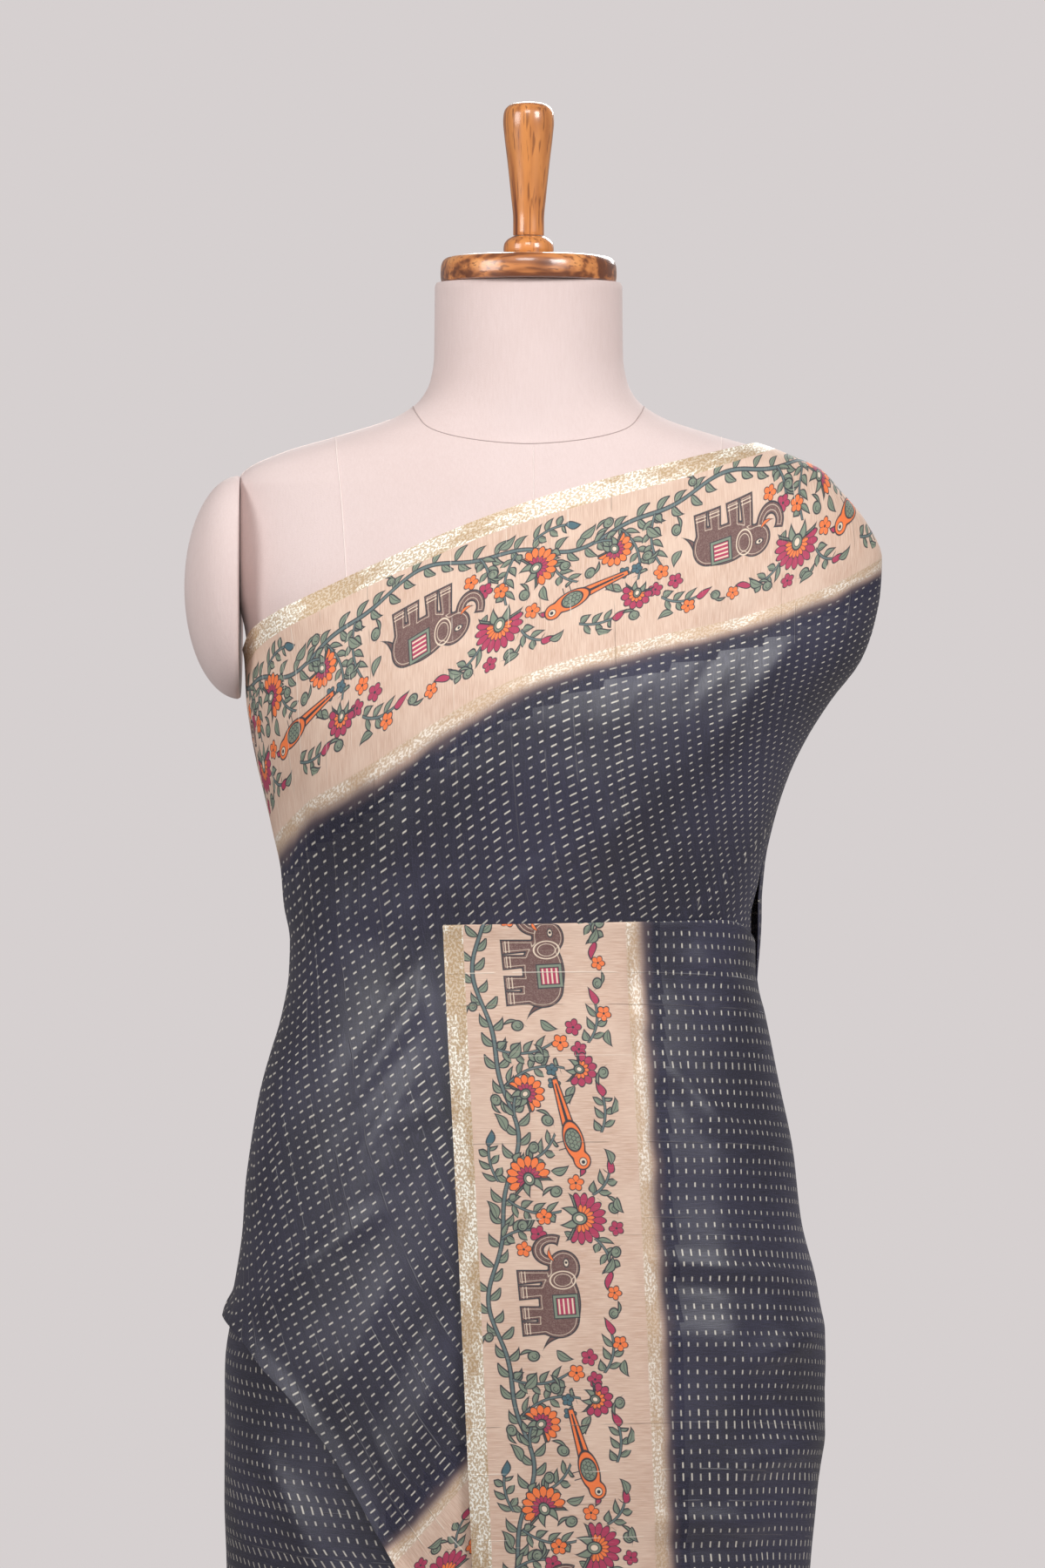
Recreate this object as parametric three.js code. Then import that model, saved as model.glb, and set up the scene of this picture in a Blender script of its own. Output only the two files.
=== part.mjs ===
// A draped sari on a limbless dress form with a turned wooden neck cap and a pole stand.
// Millimetres, +Z up, the front faces -Y, left and right are those of the viewer in front.
// Every stretch of cloth is a closed wall that follows one drape surface: level sections made of
// four elliptic quarters. An angle of -90 degrees is the front middle, 0 is the right outline,
// 90 the back middle, and -180 and 180 are both the left outline.
import * as THREE from 'three';

const WALL = 1.2;              // thickness of the cloth
const SEAM = 0.32;             // gap between neighbouring pieces
const LAYER = 2.7;             // step from one layer of cloth to the layer below it
const HEM = 32;                // lowest edge of the skirt
const FORM_BOTTOM = 790;
const NECK_TOP = 1440;
const ARMHOLE = 175;           // flat armhole face of the form, from the middle plane
const CHEST_LINE = 1167;       // above it the bare form has half sizes of its own
const TUCK_ANGLE = -292;       // where the chest sheet starts, tucked in at the back
const LEFT_OUTLINE = -180;
const HALF_SEAM = 0.15;        // degrees kept clear on each side of a seam at an outline
const HANG_TOP = 640;          // the waves of the skirt start here and grow downwards
const HANG_DEPTH = 6.5;
const DEG = Math.PI / 180;

// Half sizes of the drape surface at each height, measured from the axis of the stand.
const DRAPE = [
  { z: 32, left: 184, right: 180, front: 126, back: 131 },
  { z: 300, left: 179, right: 175, front: 121, back: 126 },
  { z: 500, left: 180, right: 172, front: 120, back: 126 },
  { z: 659, left: 184, right: 170, front: 122, back: 129 },
  { z: 701, left: 185, right: 174, front: 124, back: 132 },
  { z: 743, left: 185, right: 180, front: 125, back: 135 },
  { z: 786, left: 187, right: 181, front: 125, back: 136 },
  { z: 828, left: 180, right: 176, front: 124, back: 135 },
  { z: 870, left: 173, right: 166, front: 122, back: 130 },
  { z: 913, left: 168, right: 161, front: 119, back: 121 },
  { z: 955, left: 161, right: 152, front: 115, back: 108 },
  { z: 998, left: 150, right: 143, front: 110, back: 96 },
  { z: 1019, left: 146, right: 138, front: 107, back: 91 },
  { z: 1040, left: 145, right: 138, front: 106, back: 87 },
  { z: 1061, left: 148, right: 138, front: 109, back: 87 },
  { z: 1082, left: 150, right: 141, front: 113, back: 89 },
  { z: 1104, left: 155, right: 146, front: 120, back: 92 },
  { z: 1125, left: 160, right: 152, front: 126, back: 96 },
  { z: 1146, left: 165, right: 160, front: 129.5, back: 99 },
  { z: 1167, left: 169, right: 171, front: 130, back: 101 },
  { z: 1188, left: 172, right: 185, front: 127, back: 102 },
  { z: 1210, left: 173, right: 202, front: 118.5, back: 102 },
  { z: 1231, left: 178, right: 210, front: 108.5, back: 101 },
  { z: 1252, left: 182, right: 214, front: 97, back: 98 },
  { z: 1273, left: 183, right: 215, front: 84.5, back: 94 },
  { z: 1294, left: 183, right: 206, front: 74, back: 87 },
  { z: 1316, left: 182, right: 188, front: 66, back: 79 },
  { z: 1326, left: 175, right: 179, front: 61.5, back: 75 },
  { z: 1337, left: 152, right: 156, front: 57, back: 70 },
  { z: 1343, left: 134, right: 139, front: 54, back: 67 },
  { z: 1347, left: 118, right: 123, front: 52, back: 64 },
];

// Half sizes of the bare form from the bust up; lower down it keeps a margin inside the drape.
const FORM_UPPER = [
  { z: 1167, left: 165, right: 163, front: 126.7, back: 97.8 },
  { z: 1188, left: 168, right: 166, front: 123.6, back: 99 },
  { z: 1210, left: 170, right: 169, front: 115.2, back: 99 },
  { z: 1231, left: 173, right: 173, front: 105.3, back: 98 },
  { z: 1252, left: 178, right: 178, front: 94, back: 95 },
  { z: 1273, left: 180, right: 180, front: 81.6, back: 91 },
  { z: 1294, left: 180, right: 180, front: 71.6, back: 84.5 },
  { z: 1316, left: 179, right: 179, front: 63.4, back: 76.5 },
  { z: 1326, left: 172, right: 172, front: 59, back: 72.5 },
  { z: 1337, left: 149, right: 149, front: 55, back: 67.5 },
  { z: 1347, left: 115, right: 115, front: 51.5, back: 63.5 },
  { z: 1358, left: 82, right: 82, front: 50, back: 61.5 },
  { z: 1369, left: 66, right: 66, front: 49.5, back: 60.5 },
  { z: 1380, left: 60, right: 60, front: 49, back: 60 },
  { z: 1395, left: 57.5, right: 57.5, front: 48.5, back: 59 },
  { z: NECK_TOP, left: 57, right: 57, front: 48, back: 58 },
];
const FORM_MARGIN = [
  { z: FORM_BOTTOM, gap: 9.5 },
  { z: 950, gap: 9 },
  { z: 1015, gap: 7.7 },
  { z: 1048, gap: 7.6 },
  { z: 1085, gap: 3.8 },
  { z: 1167, gap: 3.3 },
];

// Edges of the stretches of cloth.
const CHEST_TOP_FRONT = [
  { x: -174, z: 1217 }, { x: -168, z: 1228 }, { x: -152, z: 1238.8 }, { x: -136, z: 1246.7 },
  { x: -4, z: 1303.4 }, { x: 139, z: 1343 },
];
const CHEST_TOP_BACK = [
  { angle: TUCK_ANGLE, z: 1041 }, { angle: -270, z: 1062 }, { angle: -250, z: 1096 },
  { angle: -225, z: 1150 }, { angle: -200, z: 1199 }, { angle: LEFT_OUTLINE, z: 1217 },
];
const CHEST_LOW_FRONT = [
  { x: -186, z: 815 }, { x: -167, z: 797 }, { x: -159, z: 787 }, { x: -140, z: 767.6 },
  { x: -115, z: 735 }, { x: -86, z: 685 }, { x: -69, z: 658 }, { x: -42, z: 640 },
  { x: 20, z: 910 }, { x: 70, z: 1000 }, { x: 140, z: 1006 },
];
const CHEST_LOW_AT_PANEL = CHEST_LOW_FRONT.find((row) => row.x === -42);
const CHEST_LOW_BACK = [
  { angle: TUCK_ANGLE, z: 985 }, { angle: -270, z: 952 }, { angle: -225, z: 872 },
  { angle: -195, z: 826 }, { angle: LEFT_OUTLINE, z: 815 },
];
const PANEL_EDGE = [
  { z: HEM, x: -22 }, { z: 400, x: -27 }, { z: 658, x: -33 }, { z: 844, x: -41 }, { z: 1051, x: -51 },
];
const PANEL_TOP = [
  { x: -52, z: 1050.6 }, { x: 68, z: 1053 }, { x: 110, z: 1040 }, { x: 139, z: 1027 },
];
const FALL_BOTTOM = 430;
const FALL_TOP = 1340;
const FALL_INNER_EDGE = [
  { z: FALL_BOTTOM, x: 22 }, { z: 800, x: 32 }, { z: 1040, x: 45 }, { z: 1200, x: 70 },
  { z: 1300, x: 100 }, { z: 1326, x: 118 }, { z: FALL_TOP, x: 131 },
];
const FALL_OUTER_ANGLE = [
  { z: FALL_BOTTOM, angle: 14 }, { z: 900, angle: 11 }, { z: 1000, angle: 9 },
  { z: 1060, angle: 2 * HALF_SEAM }, { z: 1343, angle: 2 * HALF_SEAM },
];
const FALL_FOLDS = 3.3;        // pleats across the fall
const FALL_FOLD_DEPTH = 11;

// How the lower layers sink beneath the panel and beneath the chest sheet.
const PANEL_COVER = { before: 15, fade: 10, top: 1074, topFade: 20 };
const CHEST_COVER = { before: 75, fade: 62, turn: -318, turnFade: 22 };

// Soft folds that stand out from the drape: a straight crest from (x0, z0) to (x1, z1).
const FRONT_FOLDS = [
  { x0: -112, z0: 1180, x1: -150, z1: 1040, width: 9, height: 2.6 },
  { x0: -60, z0: 1130, x1: -128, z1: 1010, width: 12, height: 2.2 },
  { x0: 20, z0: 1155, x1: 60, z1: 1075, width: 10, height: 1.8 },
  { x0: -142, z0: 985, x1: -172, z1: 850, width: 13, height: 3.2 },
  { x0: -60, z0: 960, x1: -150, z1: 800, width: 14, height: 2.6 },
  { x0: 128, z0: 870, x1: 168, z1: 760, width: 12, height: 3 },
  { x0: 60, z0: 1040, x1: 72, z1: 560, width: 16, height: 2.4 },
  { x0: 112, z0: 1000, x1: 132, z1: 520, width: 14, height: 2.8 },
];

const ring = (count) => [...Array(count).keys()];
const clamp = (value, low, high) => Math.min(high, Math.max(low, value));
const smooth = (value) => {
  const t = clamp(value, 0, 1);
  return t * t * (3 - 2 * t);
};
const mix = (a, b, t) => a + (b - a) * t;

// Monotone cubic through the rows of a table, from column `key` to column `value`.
function curve(rows, key, value) {
  const xs = rows.map((row) => row[key]);
  const ys = rows.map((row) => row[value]);
  const slopes = ring(xs.length - 1).map((i) => (ys[i + 1] - ys[i]) / (xs[i + 1] - xs[i]));
  const tangents = xs.map((_, i) => {
    if (i === 0) return slopes[0];
    if (i === xs.length - 1) return slopes[i - 1];
    const before = slopes[i - 1];
    const after = slopes[i];
    return before * after <= 0 ? 0 : (2 * before * after) / (before + after);
  });
  return (at) => {
    const x = clamp(at, xs[0], xs[xs.length - 1]);
    let i = 0;
    while (i < xs.length - 2 && x > xs[i + 1]) i += 1;
    const span = xs[i + 1] - xs[i];
    const t = (x - xs[i]) / span;
    const bend = t * (1 - t) * span;
    return mix(ys[i], ys[i + 1], t * t * (3 - 2 * t))
      + bend * ((1 - t) * tangents[i] - t * tangents[i + 1]);
  };
}

function section(rows) {
  const [left, right, front, back] = ['left', 'right', 'front', 'back']
    .map((name) => curve(rows, 'z', name));
  return { left, right, front, back };
}

const drape = section(DRAPE);
const formUpper = section(FORM_UPPER);
const formMargin = curve(FORM_MARGIN, 'z', 'gap');
const chestTopFront = curve(CHEST_TOP_FRONT, 'x', 'z');
const chestTopBack = curve(CHEST_TOP_BACK, 'angle', 'z');
const chestLowFront = curve(CHEST_LOW_FRONT, 'x', 'z');
const chestLowBack = curve(CHEST_LOW_BACK, 'angle', 'z');
const panelEdge = curve(PANEL_EDGE, 'z', 'x');
const panelTop = curve(PANEL_TOP, 'x', 'z');
const fallInner = curve(FALL_INNER_EDGE, 'z', 'x');
const fallOuter = curve(FALL_OUTER_ANGLE, 'z', 'angle');

function onSection(shape, angle, z, inset = 0) {
  const c = Math.cos(angle * DEG);
  const s = Math.sin(angle * DEG);
  const across = (c > 0 ? shape.right(z) : shape.left(z)) - inset;
  const deep = (s < 0 ? shape.front(z) : shape.back(z)) - inset;
  return new THREE.Vector3(across * c, deep * s, z);
}

// Gentle waves of the hanging skirt, deeper towards the hem, shared by every layer there.
function hang(angle, z) {
  const depth = HANG_DEPTH * smooth((HANG_TOP - z) / (HANG_TOP - 80));
  const a = angle * DEG;
  const uneven = 0.65 + 0.35 * Math.sin(2 * a + 0.7);
  return depth * uneven * Math.sin(8 * a + 0.9 * Math.sin(3 * a) + 0.6);
}

function crest(fold, x, z) {
  const dx = fold.x1 - fold.x0;
  const dz = fold.z1 - fold.z0;
  const length = Math.hypot(dx, dz);
  const along = ((x - fold.x0) * dx + (z - fold.z0) * dz) / length;
  const away = ((x - fold.x0) * dz - (z - fold.z0) * dx) / length;
  const ends = smooth(along / (0.35 * length)) * smooth((length - along) / (0.35 * length));
  return fold.height * ends * Math.exp(-((away / fold.width) ** 2));
}

function frontFolds(point) {
  return FRONT_FOLDS.reduce((sum, fold) => sum + crest(fold, point.x, point.z), 0);
}

function drapePoint(angle, z, offset) {
  const point = onSection(drape, angle, z);
  const around = onSection(drape, angle + 0.5, z).sub(onSection(drape, angle - 0.5, z));
  const low = Math.max(z - 1.5, DRAPE[0].z);
  const high = Math.min(z + 1.5, DRAPE[DRAPE.length - 1].z);
  const up = onSection(drape, angle, high).sub(onSection(drape, angle, low));
  const normal = around.cross(up).normalize();
  return { point: point.addScaledVector(normal, offset + hang(angle, z)), normal };
}

// Heights of the chest sheet's edges at an angle; in front they are edges in x, met by iteration.
function edgeHeight(angle, front, back, start) {
  if (angle < LEFT_OUTLINE) return back(angle);
  let z = start;
  ring(60).forEach(() => {
    z = mix(z, front(onSection(drape, angle, z).x), 0.35);
  });
  return z;
}
const chestTop = (angle) => edgeHeight(angle, chestTopFront, chestTopBack, 1300);
const chestLow = (angle) => edgeHeight(angle, chestLowFront, chestLowBack, 800);

// How far a place on the drape lies beneath the front panel, and beneath the chest sheet.
function besidePanel(angle, z) {
  const x = onSection(drape, angle, z).x;
  return smooth((x - panelEdge(z) + PANEL_COVER.before) / PANEL_COVER.fade);
}
function underPanel(angle, z) {
  const below = smooth((PANEL_COVER.top - z) / PANEL_COVER.topFade);
  return angle < LEFT_OUTLINE ? 0 : besidePanel(angle, z) * below;
}
function underChest(angle, z) {
  const front = angle > LEFT_OUTLINE && onSection(drape, angle, z).x > CHEST_LOW_AT_PANEL.x;
  const low = front ? CHEST_LOW_AT_PANEL.z : chestLow(angle);
  return smooth((z - low + CHEST_COVER.before) / CHEST_COVER.fade)
    * smooth((angle - CHEST_COVER.turn) / CHEST_COVER.turnFade);
}

// A closed wall from a grid of places: outer points, inner points one wall deeper, four rims.
function wallMesh(name, material, columns, rows, place) {
  const outer = [];
  const inner = [];
  ring(columns + 1).forEach((i) => ring(rows + 1).forEach((j) => {
    const { point, normal } = place(i / columns, j / rows);
    outer.push(point);
    inner.push(point.clone().addScaledVector(normal, -WALL));
  }));
  const count = outer.length;
  const at = (i, j) => i * (rows + 1) + j;
  const faces = [];
  const quad = (a, b, c, d) => faces.push(a, b, c, a, c, d);
  ring(columns).forEach((i) => ring(rows).forEach((j) => {
    const [a, b, c, d] = [at(i, j), at(i + 1, j), at(i + 1, j + 1), at(i, j + 1)];
    quad(a, b, c, d);
    quad(d + count, c + count, b + count, a + count);
  }));
  ring(columns).forEach((i) => {
    quad(at(i, 0) + count, at(i + 1, 0) + count, at(i + 1, 0), at(i, 0));
    quad(at(i, rows), at(i + 1, rows), at(i + 1, rows) + count, at(i, rows) + count);
  });
  ring(rows).forEach((j) => {
    quad(at(0, j), at(0, j + 1), at(0, j + 1) + count, at(0, j) + count);
    quad(at(columns, j) + count, at(columns, j + 1) + count, at(columns, j + 1), at(columns, j));
  });
  return solid(name, material, [...outer, ...inner], faces);
}

function solid(name, material, points, faces) {
  const geometry = new THREE.BufferGeometry();
  geometry.setAttribute('position', new THREE.Float32BufferAttribute(
    points.flatMap((point) => [point.x, point.y, point.z]), 3));
  geometry.setIndex(faces);
  geometry.computeVertexNormals();
  const mesh = new THREE.Mesh(geometry, material.clone());
  mesh.name = name;
  return mesh;
}

// A closed body from a stack of rings with a flat or pointed end at the bottom and the top.
function stackMesh(name, material, levels, segments, place) {
  const points = [];
  levels.forEach((level) => ring(segments).forEach((i) => {
    points.push(place(level, (360 * i) / segments));
  }));
  const faces = [];
  ring(levels.length - 1).forEach((k) => ring(segments).forEach((i) => {
    const next = (i + 1) % segments;
    const [a, b] = [k * segments + i, k * segments + next];
    faces.push(a, b, b + segments, a, b + segments, a + segments);
  }));
  const middle = (k) => {
    const row = points.slice(k * segments, (k + 1) * segments);
    return row.reduce((sum, p) => sum.add(p), new THREE.Vector3()).divideScalar(segments);
  };
  const last = (levels.length - 1) * segments;
  points.push(middle(0), middle(levels.length - 1));
  ring(segments).forEach((i) => {
    const next = (i + 1) % segments;
    faces.push(next, i, points.length - 2);
    faces.push(last + i, last + next, points.length - 1);
  });
  return solid(name, material, points, faces);
}

function turned(name, material, profile, segments) {
  return stackMesh(name, material, profile, segments, (row, angle) => new THREE.Vector3(
    row.radius * Math.cos(angle * DEG), row.radius * Math.sin(angle * DEG), row.z));
}

const finish = (name, color, roughness, metalness = 0) => {
  const material = new THREE.MeshStandardMaterial({ color, roughness, metalness });
  material.name = name;
  return material;
};
const cloth = finish('dark woven cloth', 0x48454f, 0.75);
const jersey = finish('pale jersey', 0xf0dcd6, 0.85);
const wood = finish('lacquered wood', 0xd5945a, 0.3);
const steel = finish('painted steel', 0x3c3a38, 0.45, 0.6);

function formTorso() {
  const lower = [FORM_BOTTOM, 800, 830, 865, 900, 935, 970, 1000, 1020, 1040, 1060, 1080, 1104,
    1125, 1146];
  const upper = [CHEST_LINE, 1188, 1210, 1231, 1252, 1273, 1294, 1307, 1316, 1326, 1332, 1337, 1343,
    1350, 1358, 1369, 1380, 1395, NECK_TOP];
  return stackMesh('form_torso', jersey, [...lower, ...upper], 40, (z, angle) => {
    const edge = z === FORM_BOTTOM ? 9 : 0;
    const point = z < CHEST_LINE
      ? onSection(drape, angle, z, formMargin(z) + edge)
      : onSection(formUpper, angle, z);
    point.x = clamp(point.x, -ARMHOLE, ARMHOLE);
    return point;
  });
}

function armCap(name, side, reach, deep, tall) {
  const middle = { y: -2, z: 1255 };
  const steps = [0, 0.12, 0.3, 0.5, 0.7, 0.87, 0.97];
  return stackMesh(name, jersey, steps, 32, (step, angle) => {
    const turn = side * angle;
    const shrink = Math.cos((step * Math.PI) / 2);
    return new THREE.Vector3(
      side * (ARMHOLE + SEAM + reach * Math.sin((step * Math.PI) / 2)),
      middle.y + deep * shrink * Math.cos(turn * DEG),
      middle.z + tall * shrink * Math.sin(turn * DEG));
  });
}

function chestWrap() {
  return wallMesh('chest_wrap', cloth, 46, 24, (s, r) => {
    const angle = mix(TUCK_ANGLE, -HALF_SEAM, s);
    const low = chestLow(angle);
    const top = chestTop(angle);
    const waist = Math.min(1060, mix(top, low, 0.35));
    const z = r < 0.5 ? mix(waist, low, (1 - 2 * r) ** 1.3) : mix(top, waist, (2 - 2 * r) ** 1.4);
    const place = drapePoint(angle, z, 0);
    const sink = -LAYER * underPanel(angle, z);
    const folds = angle > LEFT_OUTLINE && sink === 0 ? frontFolds(place.point) : 0;
    place.point.addScaledVector(place.normal, sink + folds * smooth((top - z) / 40));
    return place;
  });
}

// How far the fall stands off the drape: clear of the layers below, with uneven pleats.
function fallOffset(w, z) {
  const lift = 2.3 * smooth((1100 - z) / 40);
  const loose = smooth(w / 0.25) * (3.2 + 2.4 * smooth((1200 - z) / 500));
  const turn = FALL_FOLDS * w + 0.12 * Math.sin(2 * Math.PI * w + 0.8) + 0.15 * Math.sin(z / 130);
  const uneven = 0.74 + 0.26 * Math.cos(5 * w + 1);
  const depth = FALL_FOLD_DEPTH * uneven * smooth((1300 - z) / 500) * smooth(w / 0.2);
  return lift + loose + depth * (0.5 - 0.5 * Math.cos(2 * Math.PI * turn));
}

function shoulderFall() {
  return wallMesh('shoulder_fall', cloth, 20, 26, (w, r) => {
    const z = mix(FALL_TOP, FALL_BOTTOM, (1 - r) ** 1.25);
    const reach = clamp(fallInner(z) / drape.right(z), 0, 1);
    const inner = Math.acos(reach) / DEG;
    const angle = mix(fallOuter(z), inner, w);
    return drapePoint(angle, z, fallOffset(w, z));
  });
}

function frontPanel() {
  return wallMesh('front_panel', cloth, 20, 20, (s, r) => {
    const top = panelTop(mix(PANEL_TOP[0].x, PANEL_TOP[3].x, s));
    const z = mix(top, HEM, (1 - r) ** 1.5);
    const edge = -Math.acos(panelEdge(z) / drape.left(z)) / DEG;
    const angle = mix(edge, -HALF_SEAM, s);
    const place = drapePoint(angle, z, 0);
    const calm = smooth(s / 0.1) * smooth((1 - s) / 0.1) * smooth((top - z) / 60);
    place.point.addScaledVector(place.normal, frontFolds(place.point) * calm);
    return place;
  });
}

function skirtBack() {
  return wallMesh('skirt_back', cloth, 28, 20, (s, r) => {
    const angle = mix(HALF_SEAM, -LEFT_OUTLINE - HALF_SEAM, s);
    const z = mix(mix(1027, 1034, smooth(s / 0.3)), HEM, (1 - r) ** 1.5);
    return drapePoint(angle, z, -LAYER * underChest(angle - 360, z));
  });
}

function skirtLeft() {
  return wallMesh('skirt_left', cloth, 16, 20, (s, r) => {
    const z = mix(1030, HEM, (1 - r) ** 1.5);
    const edge = -Math.acos((panelEdge(z) + 70) / drape.right(z)) / DEG;
    const angle = mix(LEFT_OUTLINE + HALF_SEAM, edge, s);
    return drapePoint(angle, z, -LAYER * (underChest(angle, z) + besidePanel(angle, z)));
  });
}

const DISC_TOP = NECK_TOP + 16;
const COLLAR_TOP = 1468.6;
const neckDisc = [
  { radius: 52.5, z: NECK_TOP + SEAM }, { radius: 53.5, z: NECK_TOP + 2 },
  { radius: 53.5, z: 1450 }, { radius: 52.6, z: 1453.2 }, { radius: 50, z: 1455.4 },
  { radius: 46, z: DISC_TOP },
];
const knobCollar = [
  { radius: 13.6, z: DISC_TOP + SEAM }, { radius: 15, z: 1458.6 }, { radius: 15.2, z: 1462.4 },
  { radius: 13.4, z: 1466 }, { radius: 9.6, z: COLLAR_TOP },
];
const knobHandle = [
  { radius: 9.3, z: COLLAR_TOP + SEAM }, { radius: 9.6, z: 1478 }, { radius: 11, z: 1494 },
  { radius: 13, z: 1514 }, { radius: 14.9, z: 1530 }, { radius: 15.5, z: 1538.5 },
  { radius: 15.2, z: 1543 }, { radius: 13.4, z: 1547 }, { radius: 9.6, z: 1549.4 },
  { radius: 4.6, z: 1550.4 },
];
const BASE_TOP = 22;
const standBase = [
  { radius: 186, z: 0 }, { radius: 190, z: 3 }, { radius: 190, z: 15 }, { radius: 188, z: 19.5 },
  { radius: 184, z: BASE_TOP },
];
const standPole = [
  { radius: 16, z: BASE_TOP + SEAM }, { radius: 16, z: FORM_BOTTOM - SEAM },
];

const group = new THREE.Group();
group.name = 'sari_on_dress_form';
group.add(
  formTorso(),
  armCap('form_arm_cap_left', -1, 34, 48, 68),
  armCap('form_arm_cap_right', 1, 30, 40, 60),
  turned('neck_cap_disc', wood, neckDisc, 40),
  turned('knob_collar', wood, knobCollar, 24),
  turned('knob_handle', wood, knobHandle, 24),
  turned('stand_base', wood, standBase, 48),
  turned('stand_pole', steel, standPole, 20),
  chestWrap(),
  shoulderFall(),
  frontPanel(),
  skirtBack(),
  skirtLeft(),
);

export default group;
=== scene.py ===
import logging
import math
from dataclasses import dataclass
from enum import Enum
from typing import Callable, Iterable, Sequence

import bpy
import numpy as np
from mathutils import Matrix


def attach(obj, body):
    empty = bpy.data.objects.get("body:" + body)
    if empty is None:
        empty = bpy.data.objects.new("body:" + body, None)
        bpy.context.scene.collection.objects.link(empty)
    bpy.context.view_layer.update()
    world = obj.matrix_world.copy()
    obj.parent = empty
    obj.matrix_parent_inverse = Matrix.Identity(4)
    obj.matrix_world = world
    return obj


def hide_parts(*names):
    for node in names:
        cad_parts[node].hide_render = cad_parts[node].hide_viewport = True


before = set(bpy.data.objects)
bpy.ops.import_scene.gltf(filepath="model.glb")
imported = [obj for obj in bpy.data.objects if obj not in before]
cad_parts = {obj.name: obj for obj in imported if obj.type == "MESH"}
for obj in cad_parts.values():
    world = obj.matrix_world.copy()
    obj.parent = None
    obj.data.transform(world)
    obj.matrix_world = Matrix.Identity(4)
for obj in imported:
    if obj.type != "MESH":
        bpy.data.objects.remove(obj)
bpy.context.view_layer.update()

log = logging.getLogger("sari")

Array = np.ndarray
Table = Sequence[tuple[float, ...]]
Colour = tuple[float, float, float]

MM = 0.001

# Driving sizes in millimetres, the same as the solids have: heights, half the width at the
# armholes, the step between two layers of cloth, and the gap between two solids.
HEM = 32.0
FORM_BOTTOM = 790.0
NECK_TOP = 1440.0
BASE_TOP = 22.0
ARMHOLE = 175.0
LAYER = 2.7
SEAM = 0.32
# Thickness of the cloth that shows, and how far under another layer it stops showing folds.
THICKNESS = 0.7
COVERED = 1.4
# Cloth nearer its edge than this carries the border's finish.
BORDER_FINISH = 131.0
# Turns of a mesh that are sharper than this stay crisp, in degrees.
CLOTH_CREASE, TURNED_CREASE = 50.0, 38.0

# Half sizes of the drape surface: height, left, right, front, back.
DRAPE_ROWS: Table = (
    (32, 184, 180, 126, 131), (300, 179, 175, 121, 126), (500, 180, 172, 120, 126),
    (659, 184, 170, 122, 129), (701, 185, 174, 124, 132), (743, 185, 180, 125, 135),
    (786, 187, 181, 125, 136), (828, 180, 176, 124, 135), (870, 173, 166, 122, 130),
    (913, 168, 161, 119, 121), (955, 161, 152, 115, 108), (998, 150, 143, 110, 96),
    (1019, 146, 138, 107, 91), (1040, 145, 138, 106, 87), (1061, 148, 138, 109, 87),
    (1082, 150, 141, 113, 89), (1104, 155, 146, 120, 92), (1125, 160, 152, 126, 96),
    (1146, 165, 160, 129.5, 99), (1167, 169, 171, 130, 101), (1188, 172, 185, 127, 102),
    (1210, 173, 202, 118.5, 102), (1231, 178, 210, 108.5, 101), (1252, 182, 214, 97, 98),
    (1273, 183, 215, 84.5, 94), (1294, 183, 206, 74, 87), (1316, 182, 188, 66, 79),
    (1326, 175, 179, 61.5, 75), (1337, 152, 156, 57, 70), (1343, 134, 139, 54, 67),
    (1347, 118, 123, 52, 64),
)

# Half sizes of the bare form from the bust up: height, left, right, front, back.
FORM_ROWS: Table = (
    (1167, 165, 163, 126.7, 97.8), (1188, 168, 166, 123.6, 99), (1210, 170, 169, 115.2, 99),
    (1231, 173, 173, 105.3, 98), (1252, 178, 178, 94, 95), (1273, 180, 180, 81.6, 91),
    (1294, 180, 180, 71.6, 84.5), (1316, 179, 179, 63.4, 76.5), (1326, 172, 172, 59, 72.5),
    (1337, 149, 149, 55, 67.5), (1347, 115, 115, 51.5, 63.5), (1358, 82, 82, 50, 61.5),
    (1369, 66, 66, 49.5, 60.5), (1380, 60, 60, 49, 60), (1395, 57.5, 57.5, 48.5, 59),
    (NECK_TOP, 57, 57, 48, 58),
)


def smooth(value: Array | float) -> Array:
    """Eased step from 0 to 1 over the unit interval."""
    t = np.clip(value, 0.0, 1.0)
    return t * t * (3.0 - 2.0 * t)


def fade(value: Array | float, start: float, end: float) -> Array:
    """Eased step from 0 at a start to 1 at an end, which may be the lower of the two."""
    return smooth((value - start) / (end - start))


def mix(a: Array | float, b: Array | float, t: Array | float) -> Array:
    """Straight blend from a to b."""
    return a + (b - a) * t


class Rule:
    """Monotone cubic through the rows of a table, as the solids use."""

    def __init__(self, xs: Iterable[float], ys: Iterable[float]) -> None:
        """Keep the knots and work out their tangents.

        Args:
            xs: Rising places.
            ys: Values at those places.
        """
        self.xs = np.array(list(xs), float)
        self.ys = np.array(list(ys), float)
        slopes = np.diff(self.ys) / np.diff(self.xs)
        before, after = slopes[:-1], slopes[1:]
        total = before + after
        same = before * after > 0
        middle = np.where(same, 2 * before * after / np.where(total == 0, 1, total), 0.0)
        self.tangents = np.concatenate([[slopes[0]], middle, [slopes[-1]]])

    def __call__(self, at: Array | float) -> Array:
        """Value of the rule, held at its end values outside its knots."""
        x = np.clip(at, self.xs[0], self.xs[-1])
        i = np.clip(np.searchsorted(self.xs, x, side="left") - 1, 0, len(self.xs) - 2)
        span = self.xs[i + 1] - self.xs[i]
        t = (x - self.xs[i]) / span
        bend = t * (1 - t) * span
        line = mix(self.ys[i], self.ys[i + 1], t * t * (3 - 2 * t))
        return line + bend * ((1 - t) * self.tangents[i] - t * self.tangents[i + 1])


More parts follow.
